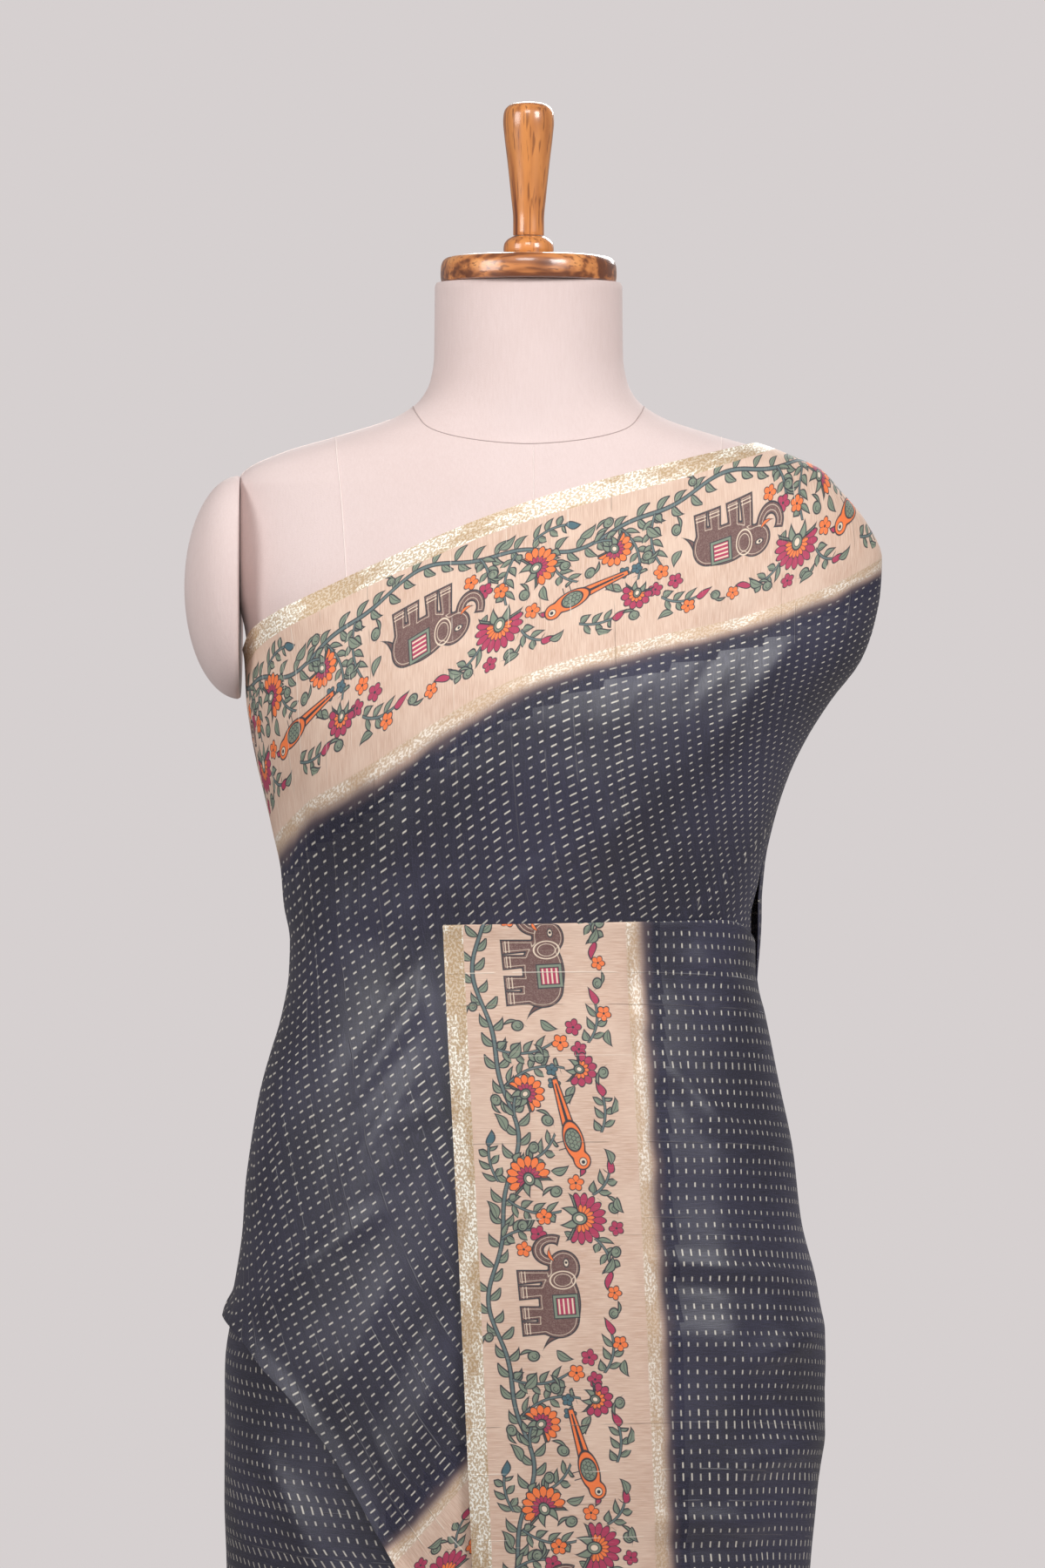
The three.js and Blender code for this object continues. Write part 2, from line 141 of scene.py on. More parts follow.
def rule(rows: Table) -> Rule:
    """Rule through pairs."""
    return Rule((row[0] for row in rows), (row[1] for row in rows))


class Section:
    """Level sections made of four elliptic quarters."""

    def __init__(self, rows: Table) -> None:
        """Read the half sizes.

        Args:
            rows: Height, left, right, front and back.
        """
        heights = [row[0] for row in rows]
        self.left, self.right, self.front, self.back = (
            Rule(heights, [row[k] for row in rows]) for k in range(1, 5))
        self.low, self.high = heights[0], heights[-1]

    def point(self, angle: Array, z: Array, inset: Array | float = 0.0) -> Array:
        """Place on the section.

        Args:
            angle: Degrees; -90 is the front middle and 0 the right outline.
            z: Height.
            inset: Taken off every half size.

        Returns:
            Points, one row each.
        """
        angle, z = np.broadcast_arrays(np.asarray(angle, float), np.asarray(z, float))
        c, s = np.cos(np.radians(angle)), np.sin(np.radians(angle))
        across = np.where(c > 0, self.right(z), self.left(z)) - inset
        deep = np.where(s < 0, self.front(z), self.back(z)) - inset
        return np.stack([across * c, deep * s, z], axis=-1)


@dataclass(frozen=True)
class Fold:
    """A soft crest (or trough, if its height is negative) along a straight line seen in front."""

    x0: float
    z0: float
    x1: float
    z1: float
    width: float
    height: float

    def lift(self, x: Array, z: Array) -> Array:
        """How far the fold stands out at a place."""
        dx, dz = self.x1 - self.x0, self.z1 - self.z0
        length = math.hypot(dx, dz)
        along = ((x - self.x0) * dx + (z - self.z0) * dz) / length
        away = ((x - self.x0) * dz - (z - self.z0) * dx) / length
        taper = 0.35 * length
        ends = fade(along, 0, taper) * fade(length - along, 0, taper)
        return self.height * ends * np.exp(-((away / self.width) ** 2))


DRAPE = Section(DRAPE_ROWS)
FORM_UPPER = Section(FORM_ROWS)
# How far the form lies inside the drape surface, over its height.
FORM_MARGIN = rule(((FORM_BOTTOM, 9.5), (950, 9), (1015, 7.7), (1048, 7.6), (1085, 3.8),
                    (1167, 3.3)))

# Edges of the chest sheet: their height over x in front and over the angle behind. The other
# edges are x over the height, but the panel's top is a height over x, and the outer edge of the
# fall an angle over the height.
CHEST_TOP_FRONT = rule(((-174, 1217), (-168, 1228), (-152, 1238.8), (-136, 1246.7),
                        (-4, 1303.4), (139, 1343)))
CHEST_TOP_BACK = rule(((-292, 1041), (-270, 1062), (-250, 1096), (-225, 1150), (-200, 1199),
                       (-180, 1217)))
CHEST_LOW_FRONT = rule(((-186, 815), (-167, 797), (-159, 787), (-140, 767.6), (-115, 735),
                        (-86, 685), (-69, 658), (-42, 640), (20, 910), (70, 1000), (140, 1006)))
CHEST_LOW_AT_PANEL = (-42.0, 640.0)
CHEST_LOW_BACK = rule(((-292, 985), (-270, 952), (-225, 872), (-195, 826), (-180, 815)))
PANEL_EDGE = rule(((HEM, -22), (400, -27), (658, -33), (844, -41), (1051, -51)))
PANEL_TOP = rule(((-52, 1050.6), (68, 1053), (110, 1040), (139, 1027)))
FALL_INNER = rule(((430, 22), (800, 32), (1040, 45), (1200, 70), (1300, 100), (1326, 118),
                   (1340, 131), (1343, 137)))
FALL_OUTER = rule(((430, 14), (900, 11), (1000, 9), (1060, 0), (1343, 0)))
FALL_BOTTOM = 430.0

# Main folds in front, the same as the solids have.
FRONT_FOLDS = (
    Fold(-112, 1180, -150, 1040, 9, 2.6), Fold(-60, 1130, -128, 1010, 12, 2.2),
    Fold(20, 1155, 60, 1075, 10, 1.8), Fold(-142, 985, -172, 850, 13, 3.2),
    Fold(-60, 960, -150, 800, 14, 2.6), Fold(128, 870, 168, 760, 12, 3.0),
    Fold(60, 1040, 72, 560, 16, 2.4), Fold(112, 1000, 132, 520, 14, 2.8),
)
# Finer creases of the chest sheet, of the panel and its side, and of the hidden sides.
CHEST_CREASES = (
    Fold(172, 1240, 100, 1146, 8, 2.6), Fold(150, 1262, 84, 1172, 5, -1.4),
    Fold(126, 1276, 62, 1180, 9, 1.8), Fold(92, 1244, 40, 1150, 6, 1.3),
    Fold(50, 1236, 30, 1150, 5, 0.8), Fold(90, 1136, -26, 1062, 6, 1.9),
    Fold(58, 1112, 14, 1058, 5, 1.6), Fold(104, 1124, 62, 1058, 5, 1.7),
    Fold(24, 1104, -34, 1052, 4, 1.3), Fold(124, 1120, 108, 1052, 7, -1.2),
    Fold(-136, 1156, -141, 1036, 7, -1.8), Fold(-78, 1156, -74, 1010, 13, 2.2),
    Fold(-102, 1130, -108, 1030, 5, -1.0), Fold(-50, 1165, -46, 1050, 3.0, 0.8),
    Fold(-96, 1215, -92, 1150, 3.0, 0.5), Fold(38, 1170, 44, 1110, 3.0, 0.5),
    Fold(-44, 1040, -114, 928, 7, 2.2), Fold(-52, 1052, -128, 940, 5, -1.2),
    Fold(-54, 980, -118, 890, 6, 1.9), Fold(-62, 996, -126, 908, 4, -1.1),
    Fold(-46, 950, -88, 928, 3.5, 1.2), Fold(-70, 892, -150, 838, 4.5, 1.4),
    Fold(-78, 902, -154, 850, 3.5, -1.1), Fold(-44, 806, -92, 690, 9, 2.6),
    Fold(-50, 846, -112, 706, 6, -1.2), Fold(-76, 856, -130, 742, 8, 2.0),
    Fold(-120, 860, -164, 818, 6, 2.2), Fold(-96, 760, -78, 716, 4, 1.2),
)
CHEST_BACK_CREASES = (
    Fold(-150, 1130, -60, 1010, 8, 2.2), Fold(-140, 1066, -36, 930, 8, 2.2),
    Fold(-166, 1180, -118, 1040, 8, 2.4), Fold(-128, 1120, -70, 1050, 5, -1.0),
    Fold(-162, 990, -80, 880, 8, 2.2), Fold(-150, 900, -110, 840, 6, 1.6),
)
PANEL_CREASES = (
    Fold(-34, 1041, 18, 1043, 1.8, -0.7), Fold(-28, 1020, -18, 860, 9, 1.0),
    Fold(6, 960, 12, 700, 12, 1.2), Fold(-38, 820, -26, 600, 8, 1.1),
    Fold(30, 820, 26, 600, 9, 0.9), Fold(66, 1046, 60, 985, 5.0, -1.2),
    Fold(64, 1000, 68, 962, 6.0, -1.4), Fold(94, 1042, 136, 1000, 8, 2.4),
    Fold(76, 1036, 122, 986, 6, -1.4), Fold(70, 980, 126, 922, 6, 2.1),
    Fold(64, 968, 118, 908, 6, -1.1), Fold(84, 946, 152, 912, 9, 1.6),
    Fold(60, 892, 158, 880, 16, -1.2), Fold(58, 856, 172, 838, 5, 2.0),
    Fold(66, 842, 164, 826, 4, -1.0), Fold(60, 812, 150, 800, 13, 2.4),
    Fold(112, 784, 190, 812, 9, 3.6), Fold(118, 752, 188, 774, 10, -2.0),
    Fold(112, 726, 188, 742, 9, 3.0), Fold(58, 700, 168, 692, 7, 2.2),
    Fold(60, 684, 166, 676, 5, -1.2), Fold(64, 650, 160, 632, 12, 1.8),
    Fold(166, 738, 172, 632, 7, 2.0), Fold(142, 730, 150, 600, 6, -1.0),
)
LEFT_CREASES = (
    Fold(-178, 800, -112, 620, 11, 2.6), Fold(-150, 744, -92, 590, 9, 2.2),
    Fold(-186, 706, -146, 540, 9, -1.4), Fold(-132, 660, -84, 500, 12, 2.4),
)
BACK_CREASES = (
    Fold(-60, 1020, -104, 890, 9, 2.2), Fold(0, 1018, -24, 870, 10, 2.0),
    Fold(50, 1015, 92, 880, 9, 2.4), Fold(100, 985, 144, 840, 10, 2.6),
    Fold(70, 960, 120, 850, 6, -1.2), Fold(-124, 900, -152, 770, 9, 2.2),
    Fold(-140, 700, -90, 550, 10, 2.2), Fold(20, 760, 84, 600, 12, 2.2),
    Fold(60, 480, 120, 290, 12, 2.6), Fold(-60, 500, -16, 300, 12, 2.4),
)


def hang(angle: Array, z: Array) -> Array:
    """Gentle waves of the hanging skirt, deeper towards the hem."""
    depth = 6.5 * fade(z, 640, 80)
    a = np.radians(angle)
    uneven = 0.65 + 0.35 * np.sin(2 * a + 0.7)
    return depth * uneven * np.sin(8 * a + 0.9 * np.sin(3 * a) + 0.6)


def drape_points(angle: Array, z: Array, offset: Array | float) -> tuple[Array, Array]:
    """Places at a distance from the drape surface.

    Args:
        angle: Degrees round the stand.
        z: Height.
        offset: Distance outwards.

    Returns:
        Points and the outward directions there.
    """
    angle, z = np.broadcast_arrays(np.asarray(angle, float), np.asarray(z, float))
    around = DRAPE.point(angle + 0.5, z) - DRAPE.point(angle - 0.5, z)
    low = np.maximum(z - 1.5, DRAPE.low)
    high = np.minimum(z + 1.5, DRAPE.high)
    normal = np.cross(around, DRAPE.point(angle, high) - DRAPE.point(angle, low))
    normal /= np.linalg.norm(normal, axis=-1, keepdims=True)
    away = np.asarray(offset + hang(angle, z))[..., None]
    return DRAPE.point(angle, z) + normal * away, normal


def edge_height(angle: Array, front: Rule, back: Rule, start: float) -> Array:
    """Height of an edge of the chest sheet at an angle; in front, where the edge is a rule of x,
    it is found step by step."""
    z = np.full(np.shape(angle), start)
    for _ in range(60):
        z = mix(z, front(DRAPE.point(angle, z)[..., 0]), 0.35)
    return np.where(angle < -180, back(angle), z)


def chest_top(angle: Array) -> Array:
    """Upper edge of the chest sheet."""
    return edge_height(angle, CHEST_TOP_FRONT, CHEST_TOP_BACK, 1300.0)


def chest_low(angle: Array) -> Array:
    """Lower edge of the chest sheet."""
    return edge_height(angle, CHEST_LOW_FRONT, CHEST_LOW_BACK, 800.0)


def past_panel_edge(x: Array, z: Array) -> Array:
    """Eased step over the panel's edge, from 0 at its left to 1 beneath the panel."""
    return fade(x - PANEL_EDGE(z), -15, -5)


def under_panel(angle: Array, z: Array) -> Array:
    """How far a place of the chest sheet lies beneath the front panel, from 0 to 1."""
    x = DRAPE.point(angle, z)[..., 0]
    return np.where(angle < -180, 0.0, past_panel_edge(x, z) * fade(z, 1074, 1054))


def under_chest(angle: Array, z: Array) -> Array:
    """How far a place of the skirt lies beneath the chest sheet, from 0 to 1."""
    x = DRAPE.point(angle, z)[..., 0]
    beside = (angle > -180) & (x > CHEST_LOW_AT_PANEL[0])
    low = np.where(beside, CHEST_LOW_AT_PANEL[1], chest_low(angle))
    return fade(z - low, -75, -13) * fade(angle, -318, -296)


def steps(share: float, first: int, second: int) -> Array:
    """Even steps from 0 up to a share, and then even steps on to 1."""
    return np.concatenate([np.linspace(0, share, first, endpoint=False),
                           np.linspace(share, 1, second)])


def total(folds: Iterable[Fold], points: Array) -> Array:
    """Sum of a set of folds at places seen in front."""
    return sum(fold.lift(points[..., 0], points[..., 2]) for fold in folds)


def facing(angle: Array) -> Array:
    """How far a place looks to the front, eased from 1 there to 0 at the back."""
    return smooth(0.5 - 1.6 * np.sin(np.radians(angle)))


def ripple(a: Array, b: Array, seed: float, size: float) -> Array:
    """Soft uneven wave between -1 and 1 from two coordinates in millimetres."""
    p, q = a / size, b / size
    return (np.sin(p + 1.3 * np.sin(0.7 * q + seed)) * np.sin(q * 1.13 + 0.9 * np.sin(p * 0.6 + seed))
            + 0.5 * np.sin(1.9 * p + 1.1 * q + 2.3 * seed)) / 1.5


def group_sockets(tree: bpy.types.NodeTree, *rows: tuple[str, str, str]) -> list:
    """Add sockets to a group from rows of name, INPUT or OUTPUT, and kind."""
    return [tree.interface.new_socket(name, in_out=way, socket_type=f"NodeSocket{kind}")
            for name, way, kind in rows]


class Value:
    """A number in a shader; arithmetic on it adds Math nodes."""

    def __init__(self, shader: "Pen", socket: bpy.types.NodeSocket) -> None:
        """Wrap an output socket."""
        self.shader, self.socket = shader, socket

    def math(self, operation: str, *others: "Value | float", clamp: bool = False) -> "Value":
        """Result of a Math node on this value and others."""
        return self.shader.math(operation, self, *others, clamp=clamp)

    def __add__(self, other: "Value | float") -> "Value":
        """Sum."""
        return self.math("ADD", other)

    def __radd__(self, other: float) -> "Value":
        """Sum, reflected."""
        return self.math("ADD", other)

    def __sub__(self, other: "Value | float") -> "Value":
        """Difference."""
        return self.math("SUBTRACT", other)

    def __rsub__(self, other: float) -> "Value":
        """Difference, reflected."""
        return self.shader.math("SUBTRACT", other, self)

    def __mul__(self, other: "Value | float") -> "Value":
        """Product."""
        return self.math("MULTIPLY", other)

    def __rmul__(self, other: float) -> "Value":
        """Product, reflected."""
        return self.math("MULTIPLY", other)

    def __truediv__(self, other: "Value | float") -> "Value":
        """Quotient."""
        return self.math("DIVIDE", other)

    def __abs__(self) -> "Value":
        """Size without sign."""
        return self.math("ABSOLUTE")

    def __mod__(self, other: float) -> "Value":
        """Remainder that is never negative."""
        return self.math("FLOORED_MODULO", other)

    def floor(self) -> "Value":
        """Whole number below."""
        return self.math("FLOOR")

    def most(self, other: "Value | float") -> "Value":
        """Larger of two values."""
        return self.math("MAXIMUM", other)

    def inside(self, softness: float) -> "Value":
        """Mask of where this distance is below zero, with a soft edge."""
        return self.math("MULTIPLY_ADD", -1.0 / softness, 0.5, clamp=True)

    def eased(self, low: float, high: float) -> "Value":
        """Eased step between two values."""
        return self.shader.eased(self, low, high)


class Pen:
    """Adds nodes to a shader tree by plain calls."""

    def __init__(self, tree: bpy.types.NodeTree) -> None:
        """Keep the tree."""
        self.tree = tree

    def node(self, kind: str, settings: dict | None = None, **inputs: object) -> bpy.types.Node:
        """Add a node.

        Args:
            kind: Node type.
            settings: Properties, set before the sockets.
            **inputs: Socket values or links; the key is the socket's name with _ for a blank,
                or i and its index.

        Returns:
            The node.
        """
        node = self.tree.nodes.new(kind)
        for key, value in (settings or {}).items():
            setattr(node, key, value)
        for key, value in inputs.items():
            by_index = key[0] == "i" and key[1:].isdigit()
            socket = node.inputs[int(key[1:])] if by_index else node.inputs[key.replace("_", " ")]
            self.feed(socket, value)
        return node

    def feed(self, socket: bpy.types.NodeSocket, value: object) -> None:
        """Link or set a socket."""
        if isinstance(value, Value):
            value = value.socket
        elif isinstance(value, Enum):
            value = value.value
        if isinstance(value, bpy.types.NodeSocket):
            self.tree.links.new(value, socket)
        elif socket.type == "RGBA" and len(value) == 3:
            socket.default_value = (*value, 1.0)
        else:
            socket.default_value = value

    def math(self, operation: str, *values: "Value | float", clamp: bool = False) -> Value:
        """Add a Math node."""
        node = self.node("ShaderNodeMath", {"operation": operation, "use_clamp": clamp})
        for socket, value in zip(node.inputs, values):
            self.feed(socket, value)
        return Value(self, node.outputs[0])

    def eased(self, value: Value, low: float, high: float) -> Value:
        """Eased step of a value from 0 at low to 1 at high."""
        node = self.node("ShaderNodeMapRange", {"interpolation_type": "SMOOTHSTEP"},
                         Value=value, From_Min=low, From_Max=high)
        return Value(self, node.outputs[0])

    def blend(self, factor: "Value | float", a: object, b: object,
              mode: str = "MIX") -> bpy.types.NodeSocket:
        """Colour between two colours."""
        node = self.node("ShaderNodeMix", {"data_type": "RGBA", "blend_type": mode},
                         i0=factor, i6=a, i7=b)
        return node.outputs[2]

    def vector(self, x: "Value | float", y: "Value | float",
               z: "Value | float" = 0.0) -> bpy.types.NodeSocket:
        """Vector from three numbers."""
        return self.node("ShaderNodeCombineXYZ", X=x, Y=y, Z=z).outputs[0]

    def noise(self, place: object, scale: float, detail: float = 2.0, rough: float = 0.5,
              dimensions: str = "3D") -> Value:
        """Noise between 0 and 1."""
        node = self.node("ShaderNodeTexNoise", {"noise_dimensions": dimensions}, Vector=place,
                         Scale=scale, Detail=detail, Roughness=rough)
        return Value(self, node.outputs["Fac"])

    def grain(self, x: Value, y: Value, detail: float = 1.0, rough: float = 0.5,
              scale: float = 1.0) -> Value:
        """Flat noise between 0 and 1 at two coordinates."""
        return self.noise(self.vector(x, y), scale, detail, rough, "2D")

    def chance(self, x: Value, y: "Value | float") -> Value:
        """One random number for each whole x and y."""
        node = self.node("ShaderNodeTexWhiteNoise", {"noise_dimensions": "2D"},
                         Vector=self.vector(x, y))
        return Value(self, node.outputs["Value"])

    def cloth_place(self) -> tuple[Value, Value]:
        """Millimetres along the cloth and from its nearer edge."""
        place = self.node("ShaderNodeUVMap", {"uv_map": "cloth"}).outputs[0]
        parts = self.node("ShaderNodeSeparateXYZ", Vector=place)
        return Value(self, parts.outputs[0]) * 1000.0, Value(self, parts.outputs[1]) * 1000.0

    def object_place(self) -> bpy.types.NodeSocket:
        """Place on the object, in metres."""
        return self.node("ShaderNodeTexCoord").outputs["Object"]


class Shader(Pen):
    """A material of its own."""

    def __init__(self, name: str) -> None:
        """Make an empty material.

        Args:
            name: Name of the material.
        """
        self.material = bpy.data.materials.new(name)
        self.material.use_nodes = True
        super().__init__(self.material.node_tree)
        self.tree.nodes.clear()

    def surface(self, colour: object, rough: object, height: "Value | None" = None,
                depth: float = 0.0, **constants: object) -> bpy.types.Material:
        """Close the material with one Principled shader.

        Args:
            colour: Base colour.
            rough: Roughness.
            height: Bump height, or None.
            depth: Metres that the height stands for.
            **constants: Other sockets of the shader.

        Returns:
            The material.
        """
        shader = self.node("ShaderNodeBsdfPrincipled", Base_Color=colour, Roughness=rough,
                           **constants)
        if height is not None:
            bump = self.node("ShaderNodeBump", Strength=1.0, Distance=depth, Height=height)
            self.feed(shader.inputs["Normal"], bump.outputs[0])
        output = self.node("ShaderNodeOutputMaterial")
        self.feed(output.inputs["Surface"], shader.outputs[0])
        return self.material


class Dye(Enum):
    """Colours of the print, in linear light."""

    LINE = (0.036, 0.038, 0.048)
    CRIMSON = (0.43, 0.042, 0.105)
    ORANGE = (0.88, 0.2, 0.055)
    BROWN = (0.15, 0.078, 0.07)
    LEAF = (0.215, 0.262, 0.195)
    STEM = (0.13, 0.18, 0.18)
    TEAL = (0.072, 0.145, 0.175)
    CREAM = (0.78, 0.64, 0.5)


class Brush:
    """Draws flat shapes from signed distances in millimetres."""

    line = 0.66

    def __init__(self, pen: Pen) -> None:
        """Keep the shader that is drawn in."""
        self.pen = pen

    def lay(self, ground: object, distance: Value, dye: object, line: float | None = None) -> object:
        """Lay a filled shape with a dark outline over a colour.

        Args:
            ground: Colour beneath.
            distance: Signed distance to the shape's edge.
            dye: Fill.
            line: Width of the outline.

        Returns:
            The new colour.
        """
        width = self.line if line is None else line
        outlined = self.pen.blend((distance - width).inside(0.4), ground, Dye.LINE)
        return self.pen.blend((distance + 0.15).inside(0.4), outlined, dye)

    def mark(self, ground: object, distance: Value, dye: object = Dye.LINE) -> object:
        """Lay a shape without an outline."""
        return self.pen.blend(distance.inside(0.35), ground, dye)

    def oval(self, x: Value, y: Value, rx: float, ry: float) -> Value:
        """Rough signed distance to an oval about the origin of x and y."""
        node = self.pen.node("ShaderNodeVectorMath", {"operation": "LENGTH"},
                             Vector=self.pen.vector(x / rx, y / ry))
        return (Value(self.pen, node.outputs["Value"]) - 1.0) * min(rx, ry)

    def box(self, x: Value, y: Value, half_x: float, half_y: float) -> Value:
        """Rough signed distance to an upright box."""
        return (abs(x) - half_x).most(abs(y) - half_y)

    def joined(self, a: Value, b: Value, soft: float) -> Value:
        """Union of two shapes with a rounded corner between them."""
        return self.pen.math("SMOOTH_MIN", a, b, soft)

    def turned(self, x: Value, y: Value, degrees: float) -> tuple[Value, Value]:
        """Coordinates in a frame turned by an angle."""
        c, s = math.cos(math.radians(degrees)), math.sin(math.radians(degrees))
        return x * c + y * s, y * c - x * s

    def hump(self, t: Value) -> Value:
        """Parabola that is 0 at 0 and at 1, and 1 between them."""
        return t * (1.0 - t) * 4.0

    def blade(self, x: Value, y: Value, length: "Value | float", half: float,
              bend: float) -> Value:
        """Pointed leaf from the origin along x, widest near its foot."""
        t = x / length
        hump = self.hump(t)
        return abs(y - hump * bend) - hump * (1.35 - t * 0.7).most(0.3) * half


# Lowest and highest place along the band, then across it.
Span = tuple[float, float, float, float]


@dataclass(frozen=True)
class Motif:
    """One motif of the print: place along and across the band, size, and turn in degrees."""

    x: float
    y: float
    size: float
    turn: float = 0.0
    dye: Dye = Dye.LEAF

    def span(self) -> Span:
        """Box that the motif stays in."""
        reach = 1.15 * self.size + 0.8
        return self.x - reach, self.x + reach, self.y - reach, self.y + reach

    def paint(self, brush: Brush, ground: object, x: Value, y: Value) -> object:
        """Paint the motif over a colour; every motif takes and gives the same.

        Args:
            brush: The brush.
            ground: Colour beneath.
            x: Along the motif's own frame, in millimetres.
            y: Across it.

        Returns:
            The new colour.
        """
        raise NotImplementedError


@dataclass(frozen=True)
class Long(Motif):
    """Motif that runs from its place towards its turn."""

    bend: float = 1.5
    room: float = 4.0

    def span(self) -> Span:
        """Box round the run with room at its sides."""
        a = math.radians(self.turn)
        xs = (self.x, self.x + self.size * math.cos(a))
        ys = (self.y, self.y + self.size * math.sin(a))
        return min(xs) - self.room, max(xs) + self.room, min(ys) - self.room, max(ys) + self.room


@dataclass(frozen=True)
class Leaf(Long):
    """Single hooked leaf with a vein."""

    def paint(self, brush: Brush, ground: object, x: Value, y: Value) -> object:
        """Paint the leaf."""
        shape = brush.blade(x, y, self.size, 0.21 * self.size, self.bend)
        colour = brush.lay(ground, shape, self.dye)
        vein = abs(y - brush.hump(x / self.size) * (0.8 * self.bend)) - 0.16
        return brush.mark(colour, vein.most(shape + 0.6))


@dataclass(frozen=True)
class Sprig(Long):
    """Bent twig with pairs of leaves and a bud at its tip."""

    room: float = 9.0
    pitch: float = 7.6
    bud: bool = False

    def paint(self, brush: Brush, ground: object, x: Value, y: Value) -> object:
        """Paint the twig, its leaves and its bud."""
        level = y - brush.hump(x / self.size) * self.bend
        cell = (x / self.pitch).floor()
        side = level.math("SIGN") * (0.16 * self.pitch)
        lx, ly = brush.turned(x - (cell + 0.3) * self.pitch - side, abs(level) - 0.3, 48.0)
        shape = brush.blade(lx, ly, 1.02 * self.pitch, 0.2 * self.pitch, 0.8)
        ends = abs(x - 0.47 * self.size) - 0.44 * self.size
        colour = brush.lay(ground, shape.most(ends), Dye.LEAF)
        colour = brush.mark(colour, (abs(ly) - 0.14).most(shape + 0.5).most(ends))
        twig = (abs(level) - 0.62).most(abs(x - 0.5 * self.size) - 0.5 * self.size)
        colour = brush.lay(colour, twig, Dye.STEM, 0.3)
        if self.bud:
            tip = brush.blade(x - 0.96 * self.size, level, 8.5, 2.3, 0.7)
            colour = brush.lay(colour, tip, self.dye)
        return colour


@dataclass(frozen=True)
class Curl(Motif):
    """Rolled tendril."""

    def span(self) -> Span:
        """Box round the roll and its stalk."""
        reach = 2.8 * self.size
        return self.x - reach, self.x + reach, self.y - reach, self.y + reach

    def paint(self, brush: Brush, ground: object, x: Value, y: Value) -> object:
        """Paint the tendril."""
        body = brush.oval(x, y, self.size, 0.88 * self.size)
        stalk = brush.blade(x + 2.4 * self.size, y + 0.75 * self.size, 2.6 * self.size,
                            0.2 * self.size, -0.35 * self.size)
        colour = brush.lay(ground, brush.joined(body, stalk, 0.5), self.dye)
        ring = abs(brush.oval(x - 0.18 * self.size, y, 0.5 * self.size, 0.46 * self.size)) - 0.2
        return brush.mark(colour, ring.most(0.0 - y - x * 0.4 - 0.2 * self.size))


@dataclass(frozen=True)
class Blossom(Motif):
    """Small five-petalled blossom."""

    def paint(self, brush: Brush, ground: object, x: Value, y: Value) -> object:
        """Paint the blossom."""
        away = brush.oval(x, y, 1.0, 1.0) + 1.0
        wave = abs((y.math("ARCTAN2", x) * 2.5).math("COSINE"))
        shape = away - (wave * 0.36 + 0.64) * self.size
        colour = brush.lay(ground, shape, self.dye, 0.5)
        gaps = (wave * away * 0.4 - 0.13).most(shape + 0.3).most(0.3 * self.size - away)
        colour = brush.mark(colour, gaps)
        return brush.mark(colour, away - 0.17 * self.size)


@dataclass(frozen=True)
class Bloom(Motif):
    """Large fan-shaped bloom: long petals, a second ring, a pale heart and a leafy cup."""

    petals: int = 15
    inner: Dye = Dye.ORANGE
    open_to: float = 1.95

    def paint(self, brush: Brush, ground: object, x: Value, y: Value) -> object:
        """Paint the bloom."""
        size, colour = self.size, ground
        level = abs(y)
        for lean, length in ((118.0, 1.0), (155.0, 0.8)):
            lx, ly = brush.turned(x, level, lean)
            colour = brush.lay(colour, brush.blade(lx, ly, length * size, 0.14 * size, -0.1 * size),
                               Dye.LEAF)
        away = brush.oval(x, y, 1.0, 1.0) + 1.0
        angle = y.math("ARCTAN2", x)
        behind = (abs(angle) - self.open_to) * away * 0.8
        for swing, tips, reach, gap, dye in (("COSINE", 0.2, 0.8, 0.2, self.dye),
                                             ("SINE", 0.15, 0.4, 0.16, self.inner)):
            wave = abs((angle * (0.5 * self.petals)).math(swing))
            ring = (away - (wave * tips + reach) * size).most(behind)
            colour = brush.lay(colour, ring, dye)
            gaps = (wave * away * (2.0 / self.petals) - gap).most(ring + 0.2)
            colour = brush.mark(colour, gaps)
        heart = brush.oval(x + 0.05 * size, y, 0.27 * size, 0.22 * size)
        colour = brush.lay(colour, heart, Dye.LEAF)
        return brush.lay(colour, heart + 0.09 * size, Dye.CREAM, 0.3)


